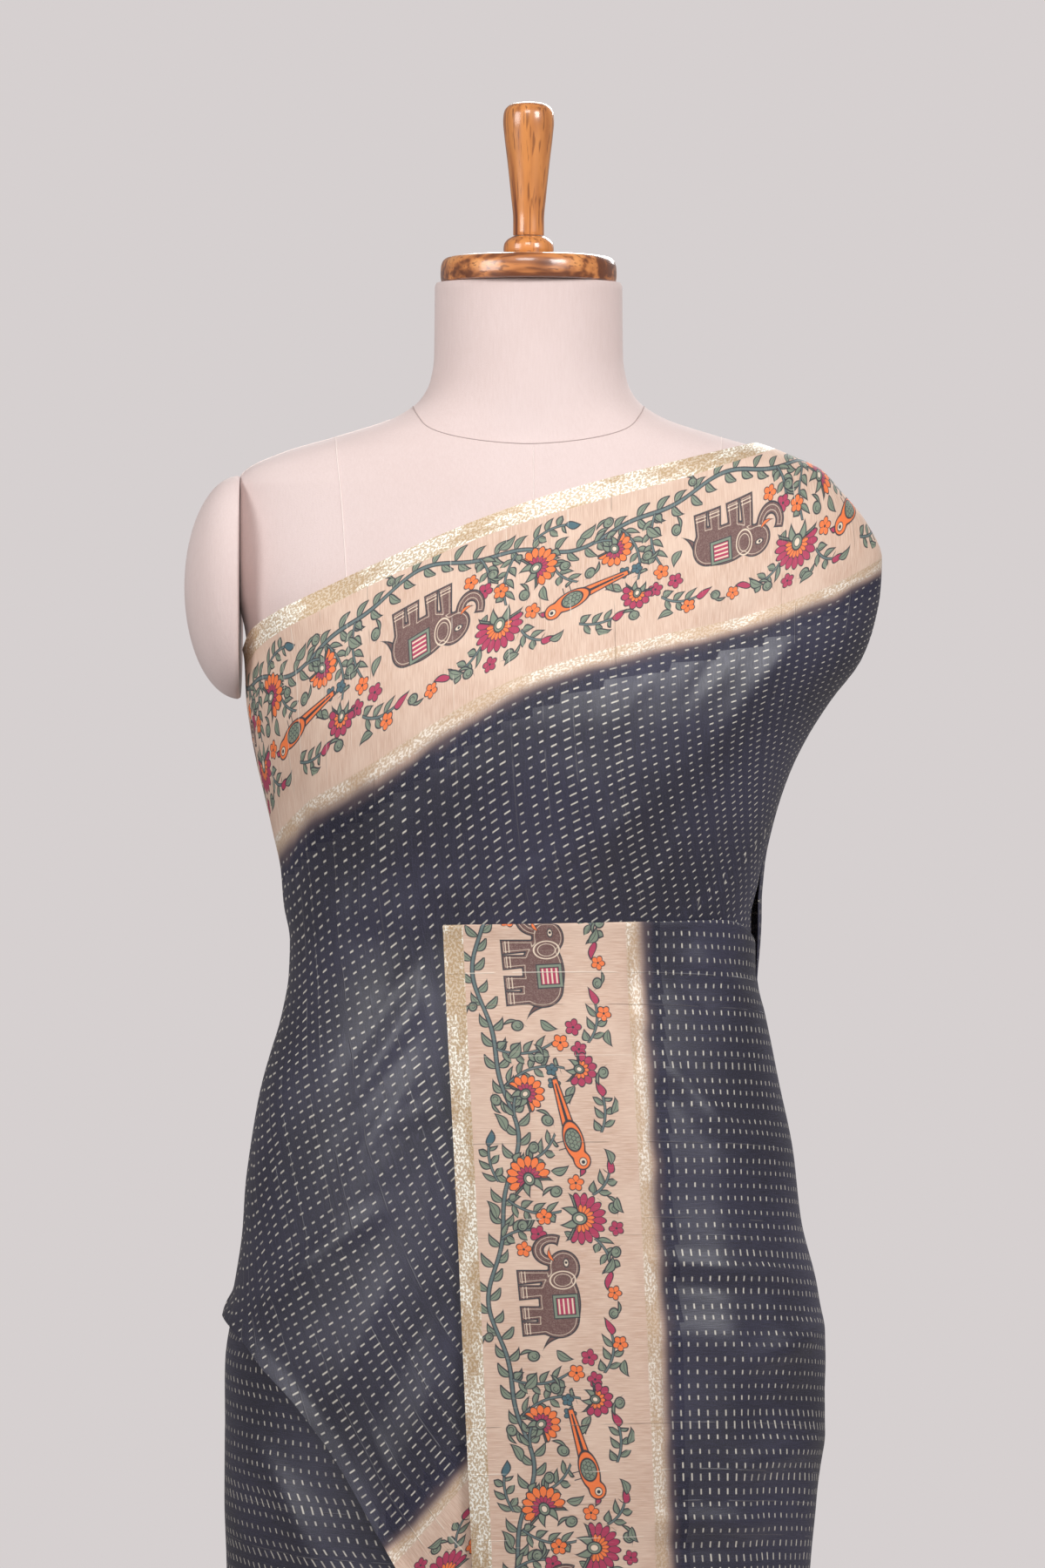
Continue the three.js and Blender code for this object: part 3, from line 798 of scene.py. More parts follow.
@dataclass(frozen=True)
class Elephant(Motif):
    """Walking elephant with a saddle cloth, its feet towards the outer edge."""

    def span(self) -> Span:
        """Box round the elephant."""
        return self.x - 28, self.x + 40, self.y - 24, self.y + 20

    def hide(self, brush: Brush, x: Value, y: Value) -> object:
        """Mottled brown of the hide."""
        marks = brush.pen.grain(x, y, 3.0, 0.65, 0.55)
        fine = abs(marks - 0.5).eased(0.0, 0.03)
        return brush.pen.blend(fine, (0.3, 0.2, 0.18), Dye.BROWN)

    def outline(self, brush: Brush, x: Value, y: Value) -> Value:
        """Body, rump, head, four legs and the rolled trunk in one shape."""
        shape = brush.oval(x + 1.0, y - 3.0, 19.0, 12.0)
        shape = brush.joined(shape, brush.oval(x + 12.0, y - 1.0, 10.0, 12.0), 2.0)
        shape = brush.joined(shape, brush.oval(x - 19.0, y - 7.5, 9.5, 9.0), 3.0)
        step = abs(abs(abs(x + 0.8) - 10.7) - 4.5) - 3.5 + (y + 12.0) * 0.05
        shape = brush.joined(shape, step.most(abs(y + 11.0) - 9.5), 1.2)
        trunk = abs(brush.oval(x - 29.5, y - 1.0, 6.6, 8.2)) - 2.3
        trunk = trunk.most(y - 3.5 - (x - 29.5) * 0.35)
        return brush.joined(shape, trunk, 1.5)

    def paint(self, brush: Brush, ground: object, x: Value, y: Value) -> object:
        """Paint the elephant."""
        tail = brush.blade(*brush.turned(x + 20.5, y - 6.0, -112.0), 15.0, 1.3, 2.2)
        colour = brush.lay(ground, tail, Dye.BROWN)
        shape = self.outline(brush, x, y)
        colour = brush.lay(colour, shape, self.hide(brush, x, y))
        colour = brush.mark(colour, abs(shape + 1.15) - 0.13, Dye.CREAM)
        for lift in (-16.2, -18.2):
            cuff = (abs(y - lift) - 0.28).most(shape + 0.4)
            colour = brush.mark(colour, cuff, Dye.CREAM)
        return self.saddle(brush, self.face(brush, colour, x, y), x, y)

    def face(self, brush: Brush, ground: object, x: Value, y: Value) -> object:
        """Paint the ear, the eye and the tusk."""
        ear = brush.oval(x - 11.5, y - 6.0, 5.2, 7.6)
        colour = brush.mark(ground, abs(ear) - 0.32, Dye.CREAM)
        colour = brush.mark(colour, abs(ear + 1.6) - 0.16, Dye.CREAM)
        eye = brush.oval(x - 21.5, y - 9.0, 2.2, 1.35)
        colour = brush.lay(colour, eye, Dye.CREAM, 0.4)
        colour = brush.mark(colour, brush.oval(x - 21.7, y - 9.0, 0.8, 0.8))
        tusk = brush.blade(*brush.turned(x - 23.0, y - 2.0, -18.0), 8.0, 0.9, -1.4)
        return brush.lay(colour, tusk, Dye.ORANGE, 0.35)

    def saddle(self, brush: Brush, ground: object, x: Value, y: Value) -> object:
        """Paint the saddle cloth with its bars."""
        rim = brush.box(x + 4.0, y - 6.5, 6.8, 7.4)
        colour = brush.lay(ground, rim, Dye.LEAF, 0.45)
        panel = brush.box(x + 4.0, y - 6.5, 4.9, 5.4)
        colour = brush.lay(colour, panel, Dye.CRIMSON, 0.4)
        bars = abs((y - 6.5) % 2.7 - 1.35) - 0.5
        return brush.mark(colour, bars.most(panel + 0.4), Dye.CREAM)


@dataclass(frozen=True)
class Bird(Motif):
    """Long-tailed bird with a scaled wing, upright although it is turned back to front."""

    def span(self) -> Span:
        """Box round the bird."""
        return self.x - 24, self.x + 40, self.y - 16, self.y + 14

    def paint(self, brush: Brush, ground: object, x: Value, y: Value) -> object:
        """Paint the bird."""
        y = y * -1.0
        legs = (abs(abs(x - 1.0) - 2.2) - 0.3).most(abs(y + 7.0) - 3.2)
        colour = brush.mark(ground, legs)
        hump = x / -30.0 - 0.25
        tail = (abs(y + 0.6) - (3.3 - hump * 2.0)).most(abs(x + 22.0) - 15.5)
        colour = brush.lay(colour, tail, Dye.ORANGE)
        colour = brush.mark(colour, (abs(y + 0.6) - 1.0 + hump * 0.6).most(abs(x + 22.5) - 12.5))
        beak = brush.blade(*brush.turned(x - 16.0, y - 1.0, -30.0), 5.6, 1.3, 0.6)
        colour = brush.lay(colour, beak, Dye.CRIMSON)
        body = brush.joined(brush.oval(x, y, 11.5, 5.7), brush.oval(x - 12.5, y - 1.6, 5.0, 4.7), 2.0)
        return self.details(brush, brush.lay(colour, body, Dye.ORANGE), x, y)

    def details(self, brush: Brush, ground: object, x: Value, y: Value) -> object:
        """Paint the scaled wing and the eye."""
        wing = brush.oval(x + 0.6, y + 0.2, 6.4, 4.4)
        colour = brush.lay(ground, wing, Dye.LEAF)
        row = (y / 2.2).floor()
        scale = brush.oval((x + row * 1.3) % 2.6 - 1.3, y - row * 2.2, 1.35, 1.9)
        colour = brush.mark(colour, (abs(scale) - 0.17).most(wing + 0.5))
        ring = brush.oval(x - 13.3, y - 2.0, 2.3, 2.1)
        colour = brush.lay(colour, ring, Dye.CREAM, 0.35)
        return brush.mark(colour, brush.oval(x - 13.5, y - 2.0, 1.1, 1.1))


class Stencil(Pen):
    """A node group that paints over a colour at a place on the band."""

    def __init__(self, name: str, draw: Callable) -> None:
        """Build the group.

        Args:
            name: Name of the group.
            draw: Takes the brush, the colour and the two coordinates, and gives the new colour.
        """
        super().__init__(bpy.data.node_groups.new(name, "ShaderNodeTree"))
        group_sockets(self.tree, ("Ground", "INPUT", "Color"), ("Along", "INPUT", "Float"),
                      ("Across", "INPUT", "Float"), ("Colour", "OUTPUT", "Color"))
        ground, along, across = self.tree.nodes.new("NodeGroupInput").outputs[:3]
        end = self.tree.nodes.new("NodeGroupOutput")
        colour = draw(Brush(self), ground, Value(self, along), Value(self, across))
        self.tree.links.new(colour, end.inputs[0])

    def use(self, pen: Pen, ground: object, along: Value, across: Value) -> bpy.types.NodeSocket:
        """Colour after the stencil is used in another tree."""
        node = pen.node("ShaderNodeGroup", {"node_tree": self.tree}, i0=ground, i1=along, i2=across)
        return node.outputs[0]


@dataclass(frozen=True)
class VinePrint:
    """Painted border of vines, blooms, an elephant and a bird, drawn from simple curves."""

    repeat: float = 195.0
    parts: int = 8
    middle: float = 44.0
    overlap: float = 6.0
    motifs: tuple[Motif, ...] = (
        Sprig(86, 14, 25, 80, bend=-3),
        Sprig(109, 19, 32, 102, bend=4),
        Sprig(131, 24, 30, 56, bend=5),
        Sprig(158, 26, 18, 12, bend=-2),
        Sprig(177, 22, 36, 74, bend=-5),
        Sprig(3, 17, 33, 84, bend=4),
        Sprig(112, 70, 17, 38, Dye.CRIMSON, bend=2, bud=True),
        Sprig(86, 70, 22, 158, Dye.CRIMSON, bend=-3, bud=True),
        Sprig(7, 72, 24, 12, Dye.CRIMSON, bend=3, bud=True),
        Sprig(149, 77, 22, 4, Dye.CRIMSON, bend=2, bud=True),
        Sprig(120, 14, 22, -12, Dye.TEAL, bend=-2, bud=True),
        Curl(94, 27, 3.0, 200), Curl(114, 48, 3.2, 60), Curl(140, 36, 3.0, 10),
        Curl(156, 45, 3.2, 120), Curl(168, 15, 3.0, -30), Curl(193, 42, 3.0, 150),
        Curl(17, 30, 3.1, 80), Curl(78, 82, 2.9, 20), Curl(104, 82, 3.0, 140),
        Curl(184, 80, 3.0, 10), Curl(42, 79, 2.8, 190), Curl(28, 4, 2.4, 30),
        Leaf(150, 20, 11, -30), Leaf(98, 12, 11, -25), Leaf(66, 75, 10, 30),
        Leaf(20, 44, 10, 120), Leaf(176, 62, 10, 200), Leaf(126, 46, 10, 75),
        Leaf(193, 24, 11, 40), Leaf(130, 82, 9, -20), Leaf(110, 84, 9, 160),
        Leaf(160, 84, 9, 15), Leaf(90, 52, 9, 100), Leaf(168, 52, 9, 70), Leaf(14, 84, 9, 170),
        Blossom(89, 36, 4.9, 20, Dye.CRIMSON), Blossom(99, 40, 4.8, 70, Dye.ORANGE),
        Blossom(80, 27, 4.6, 10, Dye.ORANGE), Blossom(7, 55, 4.9, 40, Dye.ORANGE),
        Blossom(16, 63, 4.9, 15, Dye.CRIMSON), Blossom(3, 66, 4.6, 60, Dye.CRIMSON),
        Blossom(24, 82, 4.5, 35, Dye.ORANGE), Blossom(119, 60, 4.8, 5, Dye.ORANGE),
        Blossom(92, 83, 4.4, 50, Dye.CRIMSON), Blossom(178, 50, 3.7, 20, Dye.TEAL),
        Blossom(186, 49, 3.5, 80, Dye.TEAL), Blossom(54, 80, 4.2, 25, Dye.ORANGE),
        Bloom(98, 62, 15.0, 96, Dye.CRIMSON, 17, Dye.ORANGE),
        Bloom(122, 32, 13.0, -24, Dye.ORANGE, 15, Dye.CRIMSON),
        Bloom(172, 33, 11.0, 52, Dye.ORANGE, 13, Dye.CRIMSON),
        Bloom(186, 66, 10.0, 110, Dye.CRIMSON, 11, Dye.ORANGE),
        Bird(144, 60, 1.0, 166),
        Elephant(50, 44, 1.0, -3),
    )

    def stem(self, x: Value) -> Value:
        """Middle of the main vine at a place along the border."""
        turn = 2 * math.pi / self.repeat
        first = (x * turn - 50.0 * turn).math("COSINE") * -9.0
        return first + (x * (3 * turn)).math("SINE") * 2.4 + 16.0

    def leaves(self, brush: Brush, ground: object, x: Value, y: Value, count: int,
               side: float) -> object:
        """Row of uneven leaves along one side of the vine.

        Args:
            brush: The brush.
            ground: Colour beneath.
            x: Along the border.
            y: From the band's outer line.
            count: Leaves in one repeat.
            side: 1 or -1.

        Returns:
            The new colour.
        """
        pitch = self.repeat / count
        cell = (x / pitch).floor()
        luck = brush.pen.chance(cell % float(count), side * 3.7)
        middle = (cell + 0.22) * pitch
        lx, ly = brush.turned(x - middle - luck * (0.16 * pitch),
                              (y - self.stem(middle)) * side - 0.4, 44.0)
        length = luck * 2.2 + 8.2
        shape = brush.blade(lx, ly, length, 1.75, 1.5)
        colour = brush.lay(ground, shape, Dye.LEAF)
        vein = abs(ly - brush.hump(lx / length) * 1.2) - 0.15
        return brush.mark(colour, vein.most(shape + 0.6))

    def vine(self, brush: Brush, ground: object, x: Value, y: Value) -> object:
        """Paint the main vine and its leaves."""
        colour = self.leaves(brush, ground, x, y, 17, 1.0)
        colour = self.leaves(brush, colour, x, y, 15, -1.0)
        return brush.lay(colour, abs(y - self.stem(x)) - 0.95, Dye.STEM, 0.5)

    def stencils(self) -> list[tuple[Span, Stencil]]:
        """Every motif's span and stencil, the lowest first."""
        made = [((0.0, self.repeat, 0.0, self.middle - self.overlap), Stencil("print vine", self.vine))]
        for motif in self.motifs:
            def draw(brush: Brush, ground: object, along: Value, across: Value) -> object:
                """Paint this motif in its own frame."""
                x, y = brush.turned(along - motif.x, across - motif.y, motif.turn)
                return motif.paint(brush, ground, x, y)
            made.append((motif.span(), Stencil(f"print {type(motif).__name__.lower()}", draw)))
        return made

    def picture(self, pen: Pen, along: Value, across: Value, ground: object,
                stencils: Sequence[tuple[Span, Stencil]], part: int, outer: bool) -> object:
        """Colour of one part of the painted band.

        Args:
            pen: The shader.
            along: Millimetres along the border.
            across: Millimetres from the band's outer line.
            ground: Colour of the bare cloth.
            stencils: Spans and stencils of all motifs.
            part: Which part of the repeat.
            outer: Whether it is the half by the outer edge.

        Returns:
            The colour.
        """
        width = self.repeat / self.parts
        low, high = part * width - self.overlap, (part + 1) * width + self.overlap
        colour, start = ground, 0.5 * (low + high) - 0.5 * self.repeat
        local = (along - start) % self.repeat + start
        for (left, right, near, far), stencil in stencils:
            beyond = near > self.middle + self.overlap if outer else far < self.middle - self.overlap
            if beyond:
                continue
            for lap in (-self.repeat, 0.0, self.repeat):
                if left + lap < high and right + lap > low:
                    colour = stencil.use(pen, colour, local - lap, across)
        return colour


@dataclass(frozen=True)
class SariCloth:
    """Woven cotton silk with cream weft dashes and a pale printed border."""

    outer_zari: float = 12.0
    print_end: float = 100.0
    inner_zari: float = 110.0
    border_end: float = 120.0
    row_pitch: float = 7.9
    column_pitch: float = 5.8
    slub_pitch: float = 19.0
    dark: Colour = (0.031, 0.03, 0.06)
    deep: Colour = (0.009, 0.0085, 0.021)
    dash: Colour = (0.66, 0.62, 0.54)
    fleck: Colour = (0.072, 0.07, 0.128)
    slub: Colour = (0.15, 0.14, 0.15)
    smoke: Colour = (0.12, 0.082, 0.088)
    peach_shade: Colour = (0.6, 0.4, 0.3)
    peach: Colour = (0.74, 0.56, 0.45)
    peach_light: Colour = (0.78, 0.6, 0.48)
    brown_thread: Colour = (0.3, 0.22, 0.17)
    pale_thread: Colour = (0.95, 0.86, 0.74)
    # Metal thread: its own gold, a paler colour used both for the cord's own stripes and for patches of
    # painted reflection, and a near-white painted glint.
    zari_base: Colour = (0.5, 0.34, 0.19)
    zari_pale_and_painted_reflection: Colour = (0.62, 0.5, 0.36)
    zari_painted_glint: Colour = (1.0, 0.97, 0.88)

    def threads(self, pen: Pen, along: Value, across: Value) -> tuple[Value, Value]:
        """Streaks of the weft, and its thin raised slubs.

        Args:
            pen: The shader.
            along: Millimetres along the cloth.
            across: Millimetres from its nearer edge.

        Returns:
            Streaks between 0 and 1, and a mask of slubs.
        """
        streak = pen.grain(along * 1.6, across * 0.09, 2.0, 0.6)
        cell = (along / self.slub_pitch).floor()
        luck = pen.chance(cell, 2.0)
        shift = pen.chance(cell, 7.0) * 13.0 + 3.0
        bend = (across * 0.021 + along * 0.003).math("SINE") * 1.2
        line = abs(along + bend - cell * self.slub_pitch - shift) - 0.28
        broken = pen.grain(cell * 3.1, across * 0.045)
        slub = line.inside(0.4) * broken.eased(0.44, 0.54) * luck.eased(0.2, 0.6)
        return streak, slub

    def dashes(self, pen: Pen, along: Value, across: Value) -> Value:
        """Mask of the woven dashes."""
        row = (along / self.row_pitch).floor()
        length = pen.chance(row, 11.0).math("POWER", 4.0) * 1.1 + 1.05
        shift = pen.chance(row, 5.0) * 1.8 - 0.9
        column = (across / self.column_pitch).floor()
        luck = pen.chance(row, column)
        du = abs(along - (row + 0.5) * self.row_pitch - shift - luck * 0.5) - length - luck * 0.3
        dv = abs(across - (column + 0.5) * self.column_pitch) - 0.5
        strength = luck * 0.4 + 0.6
        return du.inside(0.6) * dv.inside(0.45) * strength

    def body(self, pen: Pen, along: Value, across: Value, streak: Value, slub: Value,
             mask: Value) -> bpy.types.NodeSocket:
        """Colour of the dark field with its dashes and its smoky edge by the border.

        Args:
            pen: The shader.
            along: Millimetres along the cloth.
            across: Millimetres from its nearer edge.
            streak: Streaks of the weft.
            slub: Mask of the slubs.
            mask: Mask of the dashes.

        Returns:
            The colour.
        """
        fleck = pen.grain(along * 1.9, across * 1.3)
        broad = pen.grain(along * 0.011, across * 0.017, 0.0)
        tone = streak * 0.75 + broad * 0.6
        base = pen.blend(tone.eased(0.42, 0.95), self.deep, self.dark)
        base = pen.blend(fleck.eased(0.5, 0.8) * 0.55, base, self.fleck)
        base = pen.blend(slub * 0.45, base, self.slub)
        wobble = pen.grain(along * 0.05, across * 0.05) * 8.0
        smoke = 1.0 - (across + wobble - 4.0).eased(self.border_end, self.border_end + 9.0)
        base = pen.blend(smoke * 0.7, base, self.smoke)
        return pen.blend(mask, base, self.dash)

    def field(self) -> bpy.types.Material:
        """Material of the dark field."""
        pen = Shader("sari field")
        along, across = pen.cloth_place()
        streak, slub = self.threads(pen, along, across)
        mask = self.dashes(pen, along, across)
        colour = self.body(pen, along, across, streak, slub, mask)
        return pen.surface(colour, 0.56 - streak * 0.14, streak * 0.35 + slub, 0.00022,
                           Sheen_Weight=0.02, Sheen_Roughness=0.4, Specular_IOR_Level=0.85)

    def zari(self, pen: Pen, along: Value, across: Value) -> bpy.types.NodeSocket:
        """Colour of the metal thread, with painted glints and paler patches of painted reflection over
        its own gold and cord stripes.
        """
        glint = pen.grain(along * 0.55, across * 0.8)
        cord = pen.grain(along * 2.2, across * 0.3)
        patch = pen.grain(along * 0.02, across * 0.07, 3.0, 0.65)
        # Paler patches stand in for light reflected off the metal: painted reflection, mixed with the
        # cord's own uneven colour.
        painted_reflection_patch = patch.eased(0.44, 0.56)
        base = pen.blend(painted_reflection_patch * 0.75 + cord * 0.5 - 0.15, self.zari_base, self.zari_pale_and_painted_reflection)
        # Near-white specks are painted glints of light, brightest in the painted reflection patches.
        painted_glint_mask = (glint * 0.8 + cord * 0.2).eased(0.47, 0.57) * (painted_reflection_patch * 0.7 + 0.3)
        return pen.blend(painted_glint_mask, base, self.zari_painted_glint)

    def border(self, painted_band: VinePrint, stencils: Sequence[tuple[Span, Stencil]], part: int,
               outer: bool) -> bpy.types.Material:
        """Material of one part of the printed border; the inner half runs on into the field.

        Args:
            painted_band: The painted band.
            stencils: Its motifs.
            part: Which part of the band's repeat.
            outer: Whether it is the half by the outer edge.

        Returns:
            The material.
        """
        pen = Shader(f"sari border {part + 1} {'outer' if outer else 'inner'}")
        along, across = pen.cloth_place()
        streak, slub = self.threads(pen, along, across)
        tone = pen.grain(along * 0.03, across * 0.03, 2.0)
        ground = pen.blend(streak.eased(0.25, 0.8), self.peach_shade, self.peach)
        ground = pen.blend(tone.eased(0.4, 0.7) * 0.4, ground, self.peach_light)
        painted = painted_band.picture(pen, along, across - self.outer_zari, ground, stencils,
                                       part, outer)
        painted = pen.blend(streak.eased(0.6, 0.85) * 0.25, painted, ground)
        band = (across - self.print_end).inside(0.6) * (self.outer_zari - across).inside(0.6)
        colour = pen.blend(band, ground, painted)
        cell = (along / self.slub_pitch).floor()
        pale = pen.chance(cell, 23.0).eased(0.4, 0.6)
        thread = pen.blend(pale, self.brown_thread, self.pale_thread)
        colour = pen.blend(slub * 0.6, colour, thread)
        # The metal thread's colour carries painted glints and painted reflection patches.
        zari = self.zari(pen, along, across)
        weave = streak * 0.4 + slub
        if outer:
            metal = (across - self.outer_zari).inside(0.5)
            colour = pen.blend(metal, colour, zari)
        else:
            inner = (abs(across - 0.5 * (self.inner_zari + self.border_end)) - 4.6).inside(1.2)
            smoke = (across + tone * 6.0 - 3.0).eased(self.border_end - 5.0, self.border_end + 4.0)
            metal = inner * (1.0 - smoke) * 0.65
            colour = pen.blend(metal, colour, zari)
            mask = self.dashes(pen, along, across) * (across - self.border_end).eased(3.0, 6.0)
            field = self.body(pen, along, across, streak, slub, mask)
            colour = pen.blend(smoke, colour, field)
        return pen.surface(colour, 0.66 - metal * 0.2, weave, 0.0002, Metallic=metal * 0.2,
                           Sheen_Weight=0.02, Sheen_Roughness=0.4, Specular_IOR_Level=0.5)


@dataclass(frozen=True)
class Jersey:
    """Pale stretch jersey of the dress form."""

    pale: Colour = (0.73, 0.6, 0.575)
    shade: Colour = (0.675, 0.54, 0.51)
    dark_seam: Colour = (0.5, 0.39, 0.37)
    pale_seam: Colour = (0.93, 0.8, 0.76)

    def material(self) -> bpy.types.Material:
        """Fine knit with faint ribs and soft blotches."""
        pen = Shader("form jersey")
        place = pen.object_place()
        cloudy = pen.noise(place, 9.0, 3.0, 0.55)
        stitch = pen.noise(place, 1500.0, 1.0, 0.5)
        stretched = pen.node("ShaderNodeMapping", Vector=place, Scale=(1.0, 1.0, 0.12))
        rib = pen.noise(stretched.outputs[0], 900.0, 1.0, 0.5)
        tone = (cloudy * 0.6 + rib * 0.25 + stitch * 0.15).eased(0.3, 0.7)
        colour = pen.blend(tone, self.shade, self.pale)
        return pen.surface(colour, 0.84 - cloudy * 0.06, rib * 0.6 + stitch * 0.4, 0.00018,
                           Sheen_Weight=0.25, Sheen_Roughness=0.5, Specular_IOR_Level=0.25)

    def thread(self, name: str, colour: Colour) -> bpy.types.Material:
        """Seam welt in a shade of the jersey."""
        pen = Shader(name)
        grain = pen.noise(pen.object_place(), 2200.0, 1.0)
        dark = tuple(0.8 * c for c in colour)
        return pen.surface(pen.blend(grain, dark, colour), 0.85 - grain * 0.05, grain, 0.0001)


@dataclass(frozen=True)
class Lacquer:
    """Orange-brown turned wood under clear lacquer."""

    light: Colour = (0.66, 0.255, 0.068)
    middle: Colour = (0.36, 0.115, 0.033)
    dark: Colour = (0.12, 0.032, 0.012)

    def material(self, name: str, grain_scale: tuple[float, float, float]) -> bpy.types.Material:
        """Wood with long grain.

        Args:
            name: Name of the material.
            grain_scale: How far the grain is squeezed along each axis.

        Returns:
            The material.
        """
        pen = Shader(name)
        place = pen.object_place()
        long = pen.node("ShaderNodeMapping", Vector=place, Scale=grain_scale).outputs[0]
        warp = pen.noise(long, 22.0, 2.0, 0.5)
        bands = pen.noise(long, 110.0, 2.0, 0.55)
        pores = pen.noise(long, 600.0, 1.0, 0.5)
        tone = (bands * 0.6 + warp * 0.5).eased(0.46, 0.62)
        colour = pen.blend(tone, self.light, self.middle)
        streak = (warp * 0.45 + bands * 0.6).eased(0.54, 0.64)
        colour = pen.blend(streak * 0.9, colour, self.dark)
        colour = pen.blend(pores.eased(0.54, 0.68) * 0.6, colour, self.dark)
        return pen.surface(colour, 0.38 - pores * 0.08, bands * 0.5 + pores * 0.5, 0.00012,
                           Coat_Weight=0.75, Coat_Roughness=0.13)


@dataclass(frozen=True)
class PolePaint:
    """Satin dark paint on the steel pole."""

    tint: Colour = (0.035, 0.033, 0.032)

    def material(self) -> bpy.types.Material:
        """Slightly uneven satin paint."""
        pen = Shader("pole paint")
        speck = pen.noise(pen.object_place(), 180.0, 2.0)
        light = tuple(1.5 * c for c in self.tint)
        return pen.surface(pen.blend(speck, self.tint, light), 0.42 + speck * 0.12, speck, 0.00006,
                           Metallic=0.3)


@dataclass
class Finishes:
    """All materials of the piece."""

    field: bpy.types.Material
    border: list[bpy.types.Material]
    repeat: float
    half: float
    jersey: bpy.types.Material
    dark_seam: bpy.types.Material
    pale_seam: bpy.types.Material
    handle: bpy.types.Material
    disc: bpy.types.Material
    pole: bpy.types.Material

    @classmethod
    def make(cls) -> "Finishes":
        """Build every material once."""
        cloth, jersey, painted = SariCloth(), Jersey(), VinePrint()
        paler = Lacquer(light=(0.78, 0.33, 0.1), middle=(0.54, 0.19, 0.055))
        stencils = painted.stencils()
        return cls(
            field=cloth.field(),
            border=[cloth.border(painted, stencils, part, outer) for outer in (True, False)
                    for part in range(painted.parts)],
            repeat=painted.repeat,
            half=cloth.outer_zari + painted.middle,
            jersey=jersey.material(),
            dark_seam=jersey.thread("form seam dark", jersey.dark_seam),
            pale_seam=jersey.thread("form seam pale", jersey.pale_seam),
            handle=Lacquer().material("lacquered handle", (1.0, 1.0, 0.05)),
            disc=paler.material("lacquered disc", (0.07, 1.0, 1.0)),
            pole=PolePaint().material(),
        )


def shown(name: str, data: bpy.types.ID) -> bpy.types.Object:
    """New object of the scene that holds some data."""
    piece = bpy.data.objects.new(name, data)
    bpy.context.scene.collection.objects.link(piece)
    return piece


def settle(piece: bpy.types.Object) -> None:
    """Turn the modifiers of a piece into plain mesh."""
    graph = bpy.context.evaluated_depsgraph_get()
    mesh = bpy.data.meshes.new_from_object(piece.evaluated_get(graph))
    piece.modifiers.clear()
    piece.data = mesh
    mesh.name = piece.name


@dataclass
class Patch:
    """A grid of places on one stretch of cloth, columns first, with cloth coordinates."""

    points: Array
    along: Array
    across: Array

    def faces(self, start: int) -> Array:
        """Quads of the grid, turned outwards, counted from a first vertex."""
        columns, rows = self.points.shape[:2]
        index = start + np.arange(columns * rows).reshape(columns, rows)
        quads = [index[:-1, :-1], index[1:, :-1], index[1:, 1:], index[:-1, 1:]]
        return np.stack([q.ravel() for q in quads], axis=-1)


class Workshop:
    """Turns arrays into finished objects on the frame's body."""

    def __init__(self, finishes: Finishes) -> None:
        """Keep the finishes."""
        self.finishes = finishes

    def mesh(self, name: str, points: Array, faces: Array | list) -> bpy.types.Object:
        """Smooth mesh object from points in millimetres."""
        mesh = bpy.data.meshes.new(name)
        mesh.from_pydata((np.asarray(points) * MM).tolist(), [], [list(map(int, f)) for f in faces])
        mesh.update()
        mesh.shade_smooth()
        return shown(name, mesh)

    def cloth(self, name: str, patches: Sequence[Patch], weld: bool = False) -> bpy.types.Object:
        """Thin shell of cloth from one or more patches.

        Args:
            name: Name of the piece.
            patches: Grids that make up the cloth.
            weld: Whether vertices that fall together are joined.

        Returns:
            The piece.
        """
        points, faces, along, across, start = [], [], [], [], 0
        for patch in patches:
            faces.append(patch.faces(start))
            points.append(patch.points.reshape(-1, 3))
            along.append(patch.along.ravel())
            across.append(patch.across.ravel())
            start += len(points[-1])
        faces = np.concatenate(faces)
        along, across = np.concatenate(along), np.concatenate(across)
        piece = self.mesh(name, np.concatenate(points), faces)
        piece.data.materials.append(self.finishes.field)
        for material in self.finishes.border:
            piece.data.materials.append(material)
        layer = piece.data.uv_layers.new(name="cloth")
        corner = faces.ravel()
        layer.data.foreach_set("uv", (np.stack([along[corner], across[corner]], 1) * MM).ravel())
        parts = len(self.finishes.border) // 2
        share = along[faces].mean(axis=1) % self.finishes.repeat / self.finishes.repeat
        inner = across[faces].mean(axis=1) > self.finishes.half
        part = 1 + np.floor(share * parts) + parts * inner
        slots = np.where(across[faces].min(axis=1) < BORDER_FINISH, part, 0).astype(np.int32)
        piece.data.polygons.foreach_set("material_index", slots)
        if weld:
            joined = piece.modifiers.new("joined", "WELD")
            joined.merge_threshold = 0.02 * MM
        shell = piece.modifiers.new("shell", "SOLIDIFY")
        shell.thickness = THICKNESS * MM
        shell.offset = -1.0
        settle(piece)
        piece.data.set_sharp_from_angle(angle=math.radians(CLOTH_CREASE))
        return piece

    def rings(self, name: str, levels: Array, material: bpy.types.Material) -> bpy.types.Object:
        """Closed body from a stack of rings, with a fan at either end.

        Args:
            name: Name of the piece.
            levels: Rings from the bottom up, each with the same number of points.
            material: Finish.

        Returns:
            The piece.
        """
        count, segments = levels.shape[:2]
        points = levels.reshape(-1, 3)
        faces = []
        for k in range(count - 1):
            for i in range(segments):
                a, b = k * segments + i, k * segments + (i + 1) % segments
                faces.append((a, b, b + segments, a + segments))
        ends = np.stack([levels[0].mean(axis=0), levels[-1].mean(axis=0)])
        points = np.concatenate([points, ends])
        low, high, last = len(points) - 2, len(points) - 1, (count - 1) * segments
        for i in range(segments):
            j = (i + 1) % segments
            faces.append((j, i, low))
            faces.append((last + i, last + j, high))
        piece = self.mesh(name, points, faces)
        piece.data.materials.append(material)
        piece.data.set_sharp_from_angle(angle=math.radians(TURNED_CREASE))
        return piece

    def place(self, piece: bpy.types.Object, slot: str, *nodes: str) -> None:
        """Put a piece on the body, in place of solids."""
        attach(piece, "root")
        if nodes:
            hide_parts(*nodes)
        log.info("%s: %d faces", piece.name, len(piece.data.polygons))


